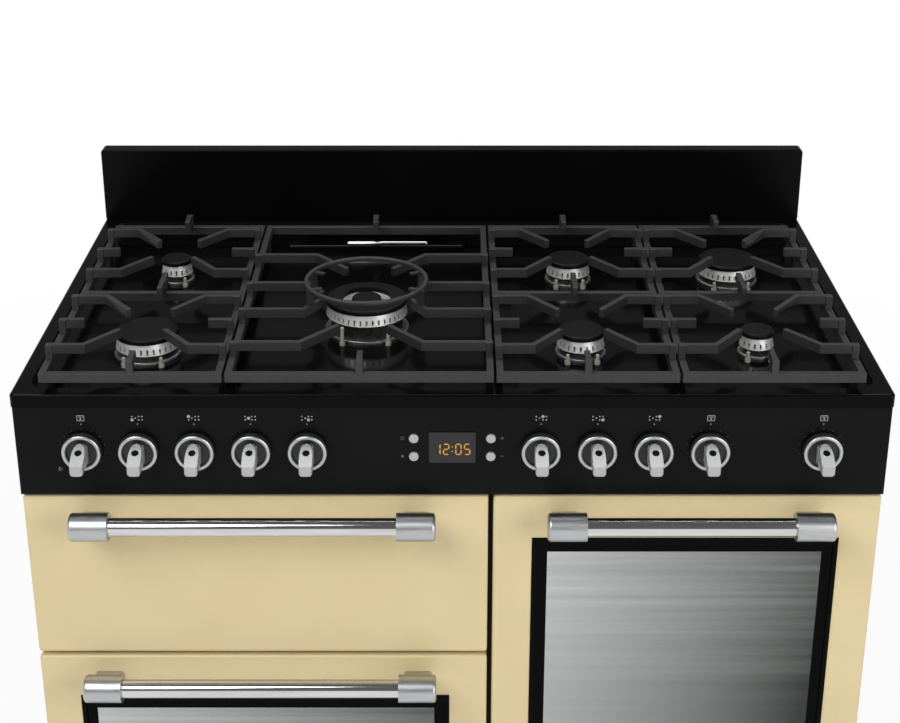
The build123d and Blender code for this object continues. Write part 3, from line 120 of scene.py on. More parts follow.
def tones(tree, value, dark, light, start=0.0, end=1.0):
    """A colour between two sRGB tones, which changes where the value goes from start to end."""
    ramp = add(tree, "ShaderNodeValToRGB", links={"Fac": value})
    for stop, hex_code, position in zip(ramp.color_ramp.elements, (dark, light), (start, end)):
        stop.color = linear(hex_code)
        stop.position = position
    return ramp.outputs["Color"]


def remap(tree, value, target, source=(0.0, 1.0)):
    """A value moved from a source range to a target range."""
    made = add(tree, "ShaderNodeMapRange", links={"Value": value},
               values={"From Min": source[0], "From Max": source[1],
                       "To Min": target[0], "To Max": target[1]})
    return made.outputs["Result"]


def bumped(tree, value, strength, height):
    """A bump as high as a height in millimetres."""
    made = add(tree, "ShaderNodeBump", values={"Strength": strength, "Distance": height * MM},
               links={"Height": value})
    return made.outputs["Normal"]


def combine(tree, operation, first, second):
    """Two values joined by a sum, a product or the like."""
    made = add(tree, "ShaderNodeMath", {"operation": operation}, links={0: first, 1: second})
    return made.outputs["Value"]


def feed(tree, shader, sources):
    """Links sources to the shader's sockets by name."""
    for socket, source in sources.items():
        tree.links.new(source, shader.inputs[socket])


print("1 mm features need a scale of", per_mm(1))

# %% [markdown]
# ## Enamel and paint
# The hob, doors and liners are steel pressings with a fired or stoved coat. Such a coat is smooth
# but not flat: it shows a slight orange peel, and its gloss drifts a little from place to place.
# A fine noise drives the bump and a broad noise drives the colour and the roughness.

# %% Coated sheet steel
DRIFT = 140.0            # size of the patches in which tone and gloss drift


def coated_steel(name, dark, light, gloss, peel, height, values):
    """A stoved coat: two close tones, a range of roughness, and orange peel of a given size."""
    material, tree, shader, place = start_material(name, values)
    drift = noise(tree, place, DRIFT, 3.0)
    feed(tree, shader, {"Base Color": tones(tree, drift, dark, light, 0.35, 0.65),
                        "Roughness": remap(tree, drift, gloss),
                        "Normal": bumped(tree, noise(tree, place, peel), 0.25, height)})
    return material


black_enamel = coated_steel("gloss_black_enamel", "#070708", "#0b0b0c", (0.10, 0.16), 2.5, 0.05,
                            {"Specular IOR Level": 0.13})
splash_enamel = coated_steel("black_splashback_enamel", "#050505", "#080808", (0.2, 0.28), 2.5, 0.04,
                             {"Specular IOR Level": 0.06})
panel_enamel = coated_steel("satin_black_enamel", "#0b0b0b", "#0f0e0f", (0.32, 0.42), 0.8, 0.03,
                            {"Specular IOR Level": 0.09})
cream_enamel = coated_steel("cream_door_enamel", "#d8c597", "#dcc99d", (0.26, 0.34), 2.0, 0.05,
                            {"Specular IOR Level": 0.4})
casing_paint = coated_steel("powder_coated_casing", "#1f1f21", "#262628", (0.45, 0.58), 0.7, 0.08, {})
cap_enamel = coated_steel("matt_cap_enamel", "#080809", "#0d0d0e", (0.36, 0.50), 1.0, 0.08,
                          {"Specular IOR Level": 0.16})
print("coats:", [m.name for m in bpy.data.materials if "enamel" in m.name or "coat" in m.name])

# %% [markdown]
# ## Oven enamel
# Oven liners have a dark ground coat with pale flecks that hide marks. A Voronoi texture gives
# separate cells, and keeping only the part of a cell near its centre turns the cells into flecks
# of about a millimetre, spaced some five millimetres apart.

# %% Flecked liner enamel
FLECK_PITCH = 5.0
oven_enamel, tree, shader, place = start_material("flecked_oven_enamel", {"Roughness": 0.3})
cells = add(tree, "ShaderNodeTexVoronoi", values={"Scale": per_mm(FLECK_PITCH), "Randomness": 1.0},
            links={"Vector": place})
feed(tree, shader, {"Base Color": tones(tree, cells.outputs["Distance"], "#a8aab0", "#35363a", 0.1, 0.2),
                    "Normal": bumped(tree, noise(tree, place, 3.0), 0.2, 0.05)})
print("made", oven_enamel.name)

# %% [markdown]
# ## Cast iron
# Pan supports are cast in sand and then coated with matt enamel, so they keep the pebbled skin of
# the mould. Two noises, one of sand grains and one of larger dents, make the bump.

# %% Enamelled cast iron
GRAIN = 0.9
DENT = 7.0
cast_iron, tree, shader, place = start_material("enamelled_cast_iron", {"Specular IOR Level": 0.5})
grain = noise(tree, place, GRAIN, 3.0)
dents = noise(tree, place, DENT)
feed(tree, shader, {"Base Color": tones(tree, dents, "#202021", "#2e2e2f"),
                    "Roughness": remap(tree, grain, (0.42, 0.58)),
                    "Normal": bumped(tree, combine(tree, "ADD", grain, dents), 0.5, 0.25)})
print("made", cast_iron.name)

# %% [markdown]
# ## Bright metals
# The burner crowns are turned aluminium, the handle bars are polished chrome and the knobs and
# handle ends are satin metal. What tells them apart is how the surface was worked: fine lines
# along one direction, from turning or brushing, stretch the highlights. Squeezing the noise along
# one axis draws those lines.

# %% Worked metal
def worked_metal(name, dark, light, gloss, grain, height, metallic=1.0):
    """Metal with lines from turning or brushing; grain gives the size of a line along X, Y and Z."""
    material, tree, shader, place = start_material(name, {"Metallic": metallic})
    scale = add(tree, "ShaderNodeMapping",
                values={"Scale": tuple(per_mm(size) for size in grain)}, links={"Vector": place})
    lines = add(tree, "ShaderNodeTexNoise", values={"Scale": 1.0, "Detail": 3.0},
                links={"Vector": scale.outputs["Vector"]}).outputs["Fac"]
    feed(tree, shader, {"Base Color": tones(tree, lines, dark, light, 0.3, 0.7),
                        "Roughness": remap(tree, lines, gloss),
                        "Normal": bumped(tree, lines, 0.2, height)})
    return material


crown_aluminium = worked_metal("turned_aluminium", "#dcdcd9", "#f2f2ef", (0.34, 0.46), (20, 20, 0.8),
                               0.03, 0.7)
cup_aluminium = worked_metal("cast_aluminium", "#767674", "#949492", (0.4, 0.55), (3, 3, 3), 0.05)
waist_aluminium = worked_metal("darker_waist_aluminium", "#323231", "#50504e", (0.4, 0.55), (4, 4, 4), 0.05)
bar_chrome = worked_metal("polished_chrome", "#c9c9ca", "#d8d8d9", (0.06, 0.10), (60, 3, 3), 0.005)
satin_nickel = worked_metal("satin_nickel", "#b2b4b6", "#c2c4c6", (0.30, 0.40), (25, 1.2, 1.2), 0.02)
shelf_chrome = worked_metal("bright_shelf_wire", "#c4c4c6", "#d4d4d6", (0.12, 0.2), (6, 6, 6), 0.01)
zinc_steel = worked_metal("zinc_plated_steel", "#8d8f90", "#aeb0b1", (0.35, 0.5), (9, 9, 9), 0.03)
element_steel = worked_metal("heat_tinted_steel", "#4b4643", "#77706b", (0.4, 0.55), (5, 5, 5), 0.02)
brass = worked_metal("turned_brass", "#a97f3c", "#c79b52", (0.28, 0.4), (1.0, 12, 12), 0.02)
print("metals made")

# %% [markdown]
# ## Plastics, rubber, ink and ceramic
# These pieces are moulded or painted, and such surfaces repeat the fine texture of the tool. One
# noise of the texture's real grit gives a soft break-up of the highlights; the ceramic is glazed,
# so it stays smoother.

# %% Moulded pieces
def moulded(name, dark, light, gloss, grit, height, values):
    """A moulded piece: close tones, a range of roughness and the grit of the mould."""
    material, tree, shader, place = start_material(name, values)
    texture = noise(tree, place, grit)
    feed(tree, shader, {"Base Color": tones(tree, texture, dark, light),
                        "Roughness": remap(tree, texture, gloss),
                        "Normal": bumped(tree, texture, 0.3, height)})
    return material


clock_plastic = moulded("gloss_black_abs", "#0e0e0e", "#121212", (0.12, 0.2), 1.5, 0.01, {})
dish_plastic = moulded("satin_black_abs", "#111111", "#171717", (0.35, 0.5), 0.6, 0.02, {})
grip_paint = moulded("silver_painted_abs", "#a9aaaa", "#b6b7b7", (0.28, 0.4), 0.5, 0.01,
                     {"Metallic": 0.35})
trim_paint = moulded("satin_black_trim", "#040404", "#070707", (0.3, 0.4), 0.8, 0.01,
                     {"Specular IOR Level": 0.05})
index_paint = moulded("matt_black_index_paint", "#0a0a0a", "#0f0f0f", (0.6, 0.7), 0.5, 0.01,
                      {"Specular IOR Level": 0.08})
foot_plastic = moulded("matt_foot_polymer", "#1b1b1b", "#242424", (0.6, 0.75), 1.0, 0.05, {})
seal_rubber = moulded("heatproof_seal", "#1d1d1e", "#2b2b2c", (0.7, 0.85), 0.8, 0.1, {})
ceramic = moulded("glazed_electrode_ceramic", "#8f8c84", "#a5a299", (0.3, 0.45), 2.0, 0.01, {})
ink = moulded("pale_printing_ink", "#8e8e8c", "#a6a6a4", (0.5, 0.6), 0.4, 0.005, {})
faint_ink = moulded("grey_printing_ink", "#4c4c4b", "#5a5a59", (0.5, 0.6), 0.4, 0.005, {})
lamp_glass = moulded("frosted_lamp_glass", "#cfc8b4", "#ded8c6", (0.25, 0.4), 3.0, 0.1,
                     {"Coat Weight": 0.3})
lamp_lens = moulded("neon_lamp_lens", "#2a1a14", "#3a2018", (0.15, 0.25), 1.0, 0.01,
                    {"Coat Weight": 0.5})
print("moulded finishes made")

# %% [markdown]
# ## Door glass
# The outer pane of each oven door is toughened glass with a black border, printed on its back and
# fired in. The clear middle has a thin heat-reflecting coat, so it is half mirror and half window.
# Its colour also holds a painted reflection: lighter at the left, dark at the right, with pale
# painted streaks near its upper edge. The border follows the pane's own size, so its mask is worked
# out from the pane's box: a point is in the clear middle where its distance from the centre is under
# the half size, along X and Z.

# %% Printed and coated panes
GLASS_LAP = 9.0          # pane behind the door's sheet, outside the window's opening
BORDER = 25.0            # printed border, from the hidden edge of the pane
BORDER_TOP = 22.0        # the same at the upper edge
# The streaks sized below are a painted reflection near the pane's upper edge.
PAINTED_STREAK = (600, 600, 9)   # size of a streak along X, Y and Z
PAINTED_STREAKS_FADE = 80.0      # pane's upper edge to where its streaks start to fade
PAINTED_STREAKS_END = 230.0      # and to where they are faint


def printed_pane(name, low, high):
    """A pane that is black round its edge and part see-through in the middle, with a painted reflection
    there.
    """
    material, tree, shader, place = start_material(name, {"Roughness": 0.12, "Specular IOR Level": 0.05})
    axes = add(tree, "ShaderNodeSeparateXYZ", links={"Vector": place}).outputs
    inside = []
    for axis, start, end in (("X", low.x + BORDER * MM, high.x - BORDER * MM),
                             ("Z", low.z + BORDER * MM, high.z - BORDER_TOP * MM)):
        near = add(tree, "ShaderNodeMath", {"operation": "COMPARE"},
                   {1: (start + end) / 2, 2: (end - start) / 2}, {0: axes[axis]})
        inside.append(near.outputs["Value"])
    clear = combine(tree, "MULTIPLY", *inside)
    stretch = add(tree, "ShaderNodeMapping", values={"Scale": tuple(per_mm(size) for size in PAINTED_STREAK)},
                  links={"Vector": place})
    painted_streaks = add(tree, "ShaderNodeTexNoise", values={"Scale": 1.0, "Detail": 2.0},
                  links={"Vector": stretch.outputs["Vector"]})
    # Painted reflection: lighter at the left edge, dark at the right, with pale painted streaks near the
    # top.
    across = remap(tree, axes["X"], (0.62, 0.02), (low.x, high.x))
    calm = remap(tree, axes["Z"], (0.06, 0.3), (high.z - PAINTED_STREAKS_END * MM, high.z - PAINTED_STREAKS_FADE * MM))
    drift = add(tree, "ShaderNodeMath", {"operation": "MULTIPLY_ADD"},
                links={0: painted_streaks.outputs["Fac"], 1: calm, 2: across})
    painted_reflection = tones(tree, drift.outputs["Value"], "#454846", "#d8dbd9", 0.1, 0.9)
    colour = add(tree, "ShaderNodeMix", {"data_type": "RGBA"}, {6: linear("#030303")}, {0: clear, 7: painted_reflection})
    feed(tree, shader, {"Base Color": colour.outputs[2],
                        "Alpha": remap(tree, clear, (1.0, 0.85)),
                        "Metallic": remap(tree, clear, (0.0, 0.9))})
    return material


FILM = 120.0             # size of the patches in the film on the inner pane
inner_pane, tree, shader, place = start_material("clear_inner_glass",
                                                 {"Alpha": 0.16, "Base Color": linear("#dfe4e2")})
feed(tree, shader, {"Roughness": remap(tree, noise(tree, place, FILM, 3.0), (0.03, 0.12))})
print("glass ready, border", BORDER, "mm")

# %% [markdown]
# ## Dress the CAD pieces
# A table of finishes says which pieces share a material. The CAD mesh arrives with split corners,
# so a Weld modifier joins them and a small Bevel then softens the edges of the castings, which
# lets them catch a line of light. The mesh itself stays as it was.

# %% Finishes by piece
finishes = {
    black_enamel: ["hob_top"],
    splash_enamel: ["splashback"],
    panel_enamel: ["control_panel", "plinth"],
    casing_paint: ["casing_panels", "base_pan", "front_frame"],
    oven_enamel: ["grill_liner", "left_oven_liner", "right_oven_liner", "grill_door_liner",
                  "left_door_liner", "right_door_liner", "fan_housing"],
    cream_enamel: ["grill_door_panel", "left_door_panel", "right_door_panel"],
    cast_iron: ["pan_support_left", "pan_support_wok", "pan_support_inner", "pan_support_right",
                "wok_ring"],
    crown_aluminium: ["flame_spreaders"],
    cup_aluminium: ["burner_cups"],
    cap_enamel: ["burner_caps"],
    ceramic: ["ignition_pins"],
    clock_plastic: ["clock_module"],
    brass: ["gas_rail_and_taps"],
    foot_plastic: ["levelling_feet"],
    seal_rubber: ["door_seals"],
    zinc_steel: ["door_hinge_arms", "fan_impeller"],
    shelf_chrome: ["oven_shelves"],
    element_steel: ["heating_elements"],
    grip_paint: [name for name in nodes if name.startswith("clock_button_")],
    satin_nickel: [name for name in nodes if name.startswith("knob_") or name.endswith("_handle")],
    waist_aluminium: [name for name in nodes if name.startswith("tap_stem_")],
    inner_pane: [name for name in nodes if name.endswith("_glass")],
}
for material, names in finishes.items():
    for name in names:
        nodes[name].data.materials.clear()
        nodes[name].data.materials.append(material)
print("dressed", sum(len(names) for names in finishes.values()), "of", len(nodes))

# %% Edges of the castings
WELD = 0.01              # distance under which split corners are joined
CAST_EDGE = 0.9          # width of a casting's rounded edge
SHARP = 40.0             # degrees between faces that make an edge sharp


def soften(name, width):
    """Welds the split corners of a CAD piece and rounds its sharp edges."""
    weld = nodes[name].modifiers.new("weld", "WELD")
    weld.merge_threshold = WELD * MM
    bevel = nodes[name].modifiers.new("edge", "BEVEL")
    bevel.width = width * MM
    bevel.segments = 2
    bevel.limit_method = "ANGLE"
    bevel.angle_limit = math.radians(SHARP)
    bevel.harden_normals = False


for name in finishes[cast_iron]:
    soften(name, CAST_EDGE)
print("softened", len(finishes[cast_iron]), "castings")

# %% [markdown]
# ## Pieces with two finishes
# A knob has a satin metal ring, a black dish and a silver grip; a handle has a polished bar between
# satin ends. The faces are told apart by where they lie in the piece, so each face gets its slot
# from a short test of its centre.

# %% Knobs and handles
KNOBS = range(1, 11)
GRIP_REACH = 30.0        # grip in front of the ring
GRIP_WIDTH = 15.0
RING_FACE = 5.0          # width of the ring
DISH_SLACK = 0.5         # dish faces count from this far in front of the ring
FACE_SLACK = 0.1         # slack for faces that lie on a limit
HANDLE_END = 45.0


def paint_faces(name, material, test):
    """Gives a second finish to the faces of a piece whose centre, in millimetres, passes the test."""
    mesh = nodes[name].data
    mesh.materials.append(material)
    slot = len(mesh.materials) - 1
    chosen = [face for face in mesh.polygons if test(face.center / MM)]
    for face in chosen:
        face.material_index = slot
    return len(chosen)


for number in KNOBS:
    name = f"knob_{number}"
    low, high = box_mm(name)
    middle = middle_mm(name)
    dish_radius = (high.x - low.x) / 2 - RING_FACE
    ring_front = low.y + GRIP_REACH

    def is_dish(p):
        reach = math.hypot(p.x - middle.x, p.z - middle.z)
        return reach < dish_radius and p.y > ring_front - DISH_SLACK

    def is_grip(p):
        beside = abs(p.x - middle.x)
        return beside <= GRIP_WIDTH / 2 + FACE_SLACK and p.y < ring_front + FACE_SLACK

    paint_faces(name, dish_plastic, is_dish)
    paint_faces(name, grip_paint, is_grip)
for door in ("grill", "left", "right"):
    name = f"{door}_door_handle"
    low, high = box_mm(name)

    def is_bar(p):
        return low.x + HANDLE_END < p.x < high.x - HANDLE_END

    print(name, "bar faces:", paint_faces(name, bar_chrome, is_bar))

# %% [markdown]
# ## Lip, panes and burner waists
# The hob's front lip stands upright like the splashback. Though it is one pressing with the top, it
# takes the splashback's darker, duller coat as painted shade on that upright face.
# Each door glass is a pair of panes, and the outer one is the printed pane. Below its bright crown,
# a flame spreader is drawn in to a waist with a darker finish. Here too, the place of a face in its
# piece tells which finish it has.

# %% Second finishes of the hob, the panes and the burners
LIP = 1.0                # depth of the hob's front lip
WAIST_TOP = 6.8          # waist above the burner cups' upper edge
WOK_WAIST_TOP = 17.8     # the same on the wok burner
WOK_REACH = 60.0         # radius that holds the wok burner
hob_face = box_mm("hob_top")[0].y
cup_top = box_mm("burner_cups")[1].z
wok = middle_mm("wok_ring")


# Faces of the upright lip, which get the darker, duller coat as painted shade.
def is_lip(p):
    return p.y < hob_face + LIP


def is_waist(p):
    beside_wok = math.hypot(p.x - wok.x, p.y - wok.y) < WOK_REACH
    return p.z < cup_top + (WOK_WAIST_TOP if beside_wok else WAIST_TOP)


print("lip faces:", paint_faces("hob_top", splash_enamel, is_lip))
for door in ("left", "right"):
    name = f"{door}_door_glass"
    pane = printed_pane(f"printed_{door}_door_glass", *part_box(name))
    half_way = middle_mm(name).y

    def is_outer(p):
        return p.y < half_way

    print(name, "outer faces:", paint_faces(name, pane, is_outer))
print("waist faces:", paint_faces("flame_spreaders", waist_aluminium, is_waist))

# %% [markdown]
# ## Printed marks
# The control panel carries small printed marks: a plan of the hob over each gas knob, with the
# knob's own burner shown large, and a plain oven sign over the others. Printing is a film of ink,
# so each mark is a set of flat outlines, a tenth of a millimetre thick, on the face of the panel.

# %% Flat outlines
INK = 0.12               # thickness of the film of ink
panel_face = box_mm("control_panel")[0].y
hob_rim = box_mm("hob_top")[1].z


def disc(x, z, radius, sides=18):
    """A round outline."""
    turns = [2 * math.pi * i / sides for i in range(sides)]
    return [(x + radius * math.cos(t), z + radius * math.sin(t)) for t in turns]


def strip(left, right, bottom, top):
    """A rectangular outline between its sides."""
    return [(left, bottom), (right, bottom), (right, top), (left, top)]


def bar(x, z, width, tall):
    """A rectangular outline about a point."""
    return strip(x - width / 2, x + width / 2, z - tall / 2, z + tall / 2)


def frame_bars(x, z, width, tall, line):
    """The four sides of a rectangle."""
    return [bar(x, z + tall / 2, width, line), bar(x, z - tall / 2, width, line),
            bar(x - width / 2, z, line, tall), bar(x + width / 2, z, line, tall)]


def print_marks(name, outlines, face, material, body, film=INK):
    """One mesh of flat outlines in the XZ plane, standing a film's thickness in front of a face."""
    mesh = bpy.data.meshes.new(name)
    build = bmesh.new()
    for outline in outlines:
        back = [build.verts.new((x * MM, face * MM, z * MM)) for x, z in outline]
        front = [build.verts.new((x * MM, (face - film) * MM, z * MM)) for x, z in outline]
        build.faces.new(front)
        build.faces.new(back[::-1])
        for i in range(len(outline)):
            j = (i + 1) % len(outline)
            build.faces.new((back[i], back[j], front[j], front[i]))
    bmesh.ops.recalc_face_normals(build, faces=build.faces)
    build.to_mesh(mesh)
    build.free()
    mesh.materials.append(material)
    made = bpy.data.objects.new(name, mesh)
    bpy.context.scene.collection.objects.link(made)
    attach(made, body)


print("panel face at y", round(panel_face, 2), "hob rim at z", round(hob_rim, 2))

# %% Marks over the knobs
MARK_DROP = 34.0         # hob rim to the marks
PLAN_PITCH = 3.8         # between burners on the printed plan, across
PLAN_RISE = 4.2          # and from front to rear
OWN_BURNER = 1.9         # radius of the knob's own burner on the plan
OTHER_BURNER = 0.85
OVEN_WIDE = 8.0          # oven sign
OVEN_TALL = 6.4
OVEN_LINE = 0.7
ELEMENT_LONG = 5.0       # the sign's bar and round dish
ELEMENT_RISE = 1.4
FOOD = 1.1
FOOD_DROP = 1.0
POINTER_DROP = 7.5       # mark to the dot that the grip points at
POINTER = 0.7
plan = [(-1.5, -0.5), (-1.5, 0.5), (-0.5, 0.0), (0.5, -0.5), (0.5, 0.5), (1.5, -0.5), (1.5, 0.5)]
oven_knobs = (1, 9, 10)
gas_knobs = [number for number in KNOBS if number not in oven_knobs]
mark_z = hob_rim - MARK_DROP


def oven_sign(x, z):
    """A plain oven: its outline, a bar for the element and a round dish under it."""
    return [*frame_bars(x, z, OVEN_WIDE, OVEN_TALL, OVEN_LINE),
            bar(x, z + ELEMENT_RISE, ELEMENT_LONG, OVEN_LINE), disc(x, z - FOOD_DROP, FOOD)]


def hob_plan(x, z, own):
    """Seven dots in the plan of the hob, with one of them large."""
    return [disc(x + column * PLAN_PITCH, z + row * PLAN_RISE, OWN_BURNER if index == own else OTHER_BURNER)
            for index, (column, row) in enumerate(plan)]


for number in KNOBS:
    x = middle_mm(f"knob_{number}").x
    outlines = [disc(x, mark_z - POINTER_DROP, POINTER)]
    if number in oven_knobs:
        outlines += oven_sign(x, mark_z)
    else:
        outlines += hob_plan(x, mark_z, gas_knobs.index(number))
    print_marks(f"knob_{number}_mark", outlines, panel_face, ink, "cabinet")
print("marks over", len(KNOBS), "knobs")

# %% [markdown]
# ## Oven scales
# An oven knob turns along a scale of temperatures, shown here by faint ticks on an arc round it.
# Equal steps of angle place the ticks, from the lower left over the top to the lower right.

# %% Ticks round the oven knobs
TICKS = 11
TICK = 0.55              # radius of a tick
TICK_SIDES = 10
TICK_START = 130.0       # first and last tick, degrees from the top
TICK_GAP = 3.0           # knob's ring to the ticks
for number in oven_knobs:
    low, high = box_mm(f"knob_{number}")
    middle = middle_mm(f"knob_{number}")
    reach = (high.x - low.x) / 2 + TICK_GAP
    outlines = []
    for i in range(TICKS):
        angle = math.radians(-TICK_START + 2 * TICK_START * i / (TICKS - 1))
        x, z = middle.x + reach * math.sin(angle), middle.z + reach * math.cos(angle)
        outlines.append(disc(x, z, TICK, TICK_SIDES))
    print_marks(f"knob_{number}_scale", outlines, panel_face, faint_ink, "cabinet")
print("ticks:", TICKS, "each")

# %% [markdown]
# ## Window trim
# A thin black trim lies on each oven door round its window. It covers the rounded corners of the
# opening in the sheet, so that the window looks square, and joins the printed border of the pane.
# Four flat strips, made as the printed marks are, but thicker, are enough for it.

# %% Trim round the windows
TRIM = 0.8               # thickness of the trim
TRIM_LAP = 3.0           # trim inside the opening, past its rounded corners
TRIM_SIDE = 2.5          # trim outside the opening
TRIM_TOP = 6.7           # the same at the upper edge
for door in ("left", "right"):
    low, high = box_mm(f"{door}_door_glass")
    left, right = low.x + GLASS_LAP, high.x - GLASS_LAP
    bottom, top = low.z + GLASS_LAP, high.z - GLASS_LAP
    outer = (left - TRIM_SIDE, right + TRIM_SIDE, bottom - TRIM_SIDE, top + TRIM_TOP)
    inner = (left + TRIM_LAP, right - TRIM_LAP, bottom + TRIM_LAP, top - TRIM_LAP)
    sides = [strip(outer[0], outer[1], inner[3], outer[3]), strip(outer[0], outer[1], outer[2], inner[2]),
             strip(outer[0], inner[0], inner[2], inner[3]), strip(inner[1], outer[1], inner[2], inner[3])]
    door_face = box_mm(f"{door}_door_panel")[0].y
    print_marks(f"{door}_window_trim", sides, door_face, trim_paint, f"{door}_door", TRIM)
print("trim", TRIM_SIDE + TRIM_LAP, "mm wide at the sides")

# %% [markdown]
# ## The clock
# The timer shows amber seven-segment digits behind a smoked lens. Each digit is seven short bars,
# and a table says which bars are lit, as in the real display. The amber comes from emission, with
# a soft noise so that the segments glow unevenly as small lamps do. Small signs beside the four
# buttons are printed on the panel.

# %% Clock digits
DIGIT_WIDE = 6.0
DIGIT_TALL = 13.0
STROKE = 1.5
GLOW = 2.5               # size of the bright patches in a segment
CLOCK_DROP = 73.0        # hob rim to the digits' middle
DIGIT_PLACES = (-17.0, -7.0, 7.0, 17.0)
COLON_RISE = 3.0         # each dot of the colon, from the digits' middle
COLON_DOT = 0.8
lens_face = box_mm("clock_module")[0].y
clock_z = hob_rim - CLOCK_DROP
lit_bars = {"0": "abcdef", "1": "bc", "2": "abdeg", "5": "acdfg"}
amber, tree, shader, place = start_material("amber_segment", {"Roughness": 0.4, "Emission Strength": 0.3})
glow = tones(tree, noise(tree, place, GLOW), "#a06a18", "#d89a34")
feed(tree, shader, {"Base Color": glow, "Emission Color": glow})


def segment(letter, x, z):
    """The outline of one of a digit's seven bars, lettered from the top, clockwise, with g across."""
    half = DIGIT_TALL / 2
    across = {"a": half, "g": 0.0, "d": -half}
    if letter in across:
        return bar(x, z + across[letter], DIGIT_WIDE - STROKE, STROKE)
    side = DIGIT_WIDE / 2 if letter in "bc" else -DIGIT_WIDE / 2
    level = half / 2 if letter in "bf" else -half / 2
    return bar(x + side, z + level, STROKE, half - STROKE)


outlines = [disc(0.0, clock_z + COLON_RISE, COLON_DOT), disc(0.0, clock_z - COLON_RISE, COLON_DOT)]
for digit, x in zip("1205", DIGIT_PLACES):
    outlines += [segment(letter, x, clock_z) for letter in lit_bars[digit]]
print_marks("clock_digits", outlines, lens_face, amber, "cabinet")
print("clock face at y", round(lens_face, 2), "segments:", len(outlines))

# %% Signs beside the clock's buttons
SIGN_GAP = 13.0          # button's middle to its sign
SIGN_SQUARE = 3.4
SIGN_LINE = 0.6
SIGN_DISC = 1.7
PLUS_LONG = 4.0
PLUS_WIDE = 0.8
for number in range(1, 5):
    button = middle_mm(f"clock_button_{number}")
    x, z = button.x + math.copysign(SIGN_GAP, button.x), button.z
    level = bar(x, z, PLUS_LONG, PLUS_WIDE)
    upright = bar(x, z, PLUS_WIDE, PLUS_LONG)
    signs = {1: frame_bars(x, z, SIGN_SQUARE, SIGN_SQUARE, SIGN_LINE), 2: [disc(x, z, SIGN_DISC)],
             3: [level, upright], 4: [level]}
    print_marks(f"clock_sign_{number}", signs[number], panel_face, faint_ink, "cabinet")
print("button signs printed")

# %% [markdown]
# ## Lathe-turned details
# Lamps, screws, the knobs' index dots and the bright strip on the flue vent are round, so a profile
# is spun about an axis: a list of radius and height pairs becomes rings of points, joined by faces.
# The hexagon of a screw head is the same with six sides.

# %% Spun pieces
LAMP_PROFILE = [(3.2, 0.0), (3.2, 0.6), (2.6, 0.8), (2.4, 1.5), (1.4, 2.1), (0.3, 2.3)]
LAMP_LEFT = 28.0         # first knob's axis to the grill lamp
LAMP_BELOW = 26.0


def spun(name, profile, sides, place, along, material, body):
    """A closed round piece: rings of (radius, height) in millimetres, set at a place along an axis."""
    mesh = bpy.data.meshes.new(name)
    build = bmesh.new()
    turns = [2 * math.pi * i / sides for i in range(sides)]
    rings = [[build.verts.new((radius * MM * math.cos(t), radius * MM * math.sin(t), height * MM))
              for t in turns] for radius, height in profile]
    for lower, upper in zip(rings, rings[1:]):
        for i in range(sides):
            j = (i + 1) % sides
            build.faces.new((lower[i], lower[j], upper[j], upper[i]))
    build.faces.new(rings[0][::-1])
    build.faces.new(rings[-1])
    build.to_mesh(mesh)
    build.free()
    mesh.materials.append(material)
    made = bpy.data.objects.new(name, mesh)
    made.location = Vector(place) * MM
    made.rotation_mode = "QUATERNION"
    made.rotation_quaternion = Vector(along).to_track_quat("Z", "Y")
    bpy.context.scene.collection.objects.link(made)
    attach(made, body)
    return made


first = middle_mm("knob_1")
lamp_place = (first.x - LAMP_LEFT, panel_face, first.z - LAMP_BELOW)
lamp = spun("grill_lamp", LAMP_PROFILE, 20, lamp_place, (0, -1, 0), lamp_lens, "cabinet")
for face in lamp.data.polygons:
    face.use_smooth = True
print("lamp at", [round(v) for v in lamp_place])

# %% Index dots of the knobs
DOT_PROFILE = [(4.2, -0.5), (4.2, 0.1), (3.8, 0.3), (0.5, 0.4)]
GRIP_HALF = 13.5         # grip's upper end above the knob's axis
SLOPE_RISE = 14.0        # height of the grip's slope, over its whole reach
DOT_DROP = 5.7           # dot below the grip's upper end
slope_normal = (0, -SLOPE_RISE, GRIP_REACH)
for number in KNOBS:
    middle = middle_mm(f"knob_{number}")
    dot_y = box_mm(f"knob_{number}")[0].y + GRIP_REACH * (1 - DOT_DROP / SLOPE_RISE)
    dot_place = (middle.x, dot_y, middle.z + GRIP_HALF - DOT_DROP)
    spun(f"knob_{number}_dot", DOT_PROFILE, 24, dot_place, slope_normal, index_paint, f"knob_{number}")
print("dots on", len(KNOBS), "knobs")

# %% Screws of the casing
WASHER = [(4.6, 0.0), (4.6, 0.5), (4.2, 0.9)]
HEAD = [(3.9, 0.9), (3.9, 2.6), (3.3, 3.1)]
FOLD = 7.5               # middle of the casing's rear fold, from its side
SCREWS = 5


def screw(name, place, along):
    """A hexagon-headed sheet-metal screw with its washer."""
    spun(name + "_washer", WASHER, 20, place, along, zinc_steel, "cabinet")
    spun(name + "_head", HEAD, 6, place, along, zinc_steel, "cabinet")


low, high = box_mm("casing_panels")
for side, x in (("left", low.x + FOLD), ("right", high.x - FOLD)):
    for i in range(SCREWS):
        z = low.z + (high.z - low.z) * (i + 0.5) / SCREWS
        screw(f"{side}_screw_{i + 1}", (x, high.y, z), (0, 1, 0))
print("screws:", 2 * SCREWS, "at y", round(high.y))

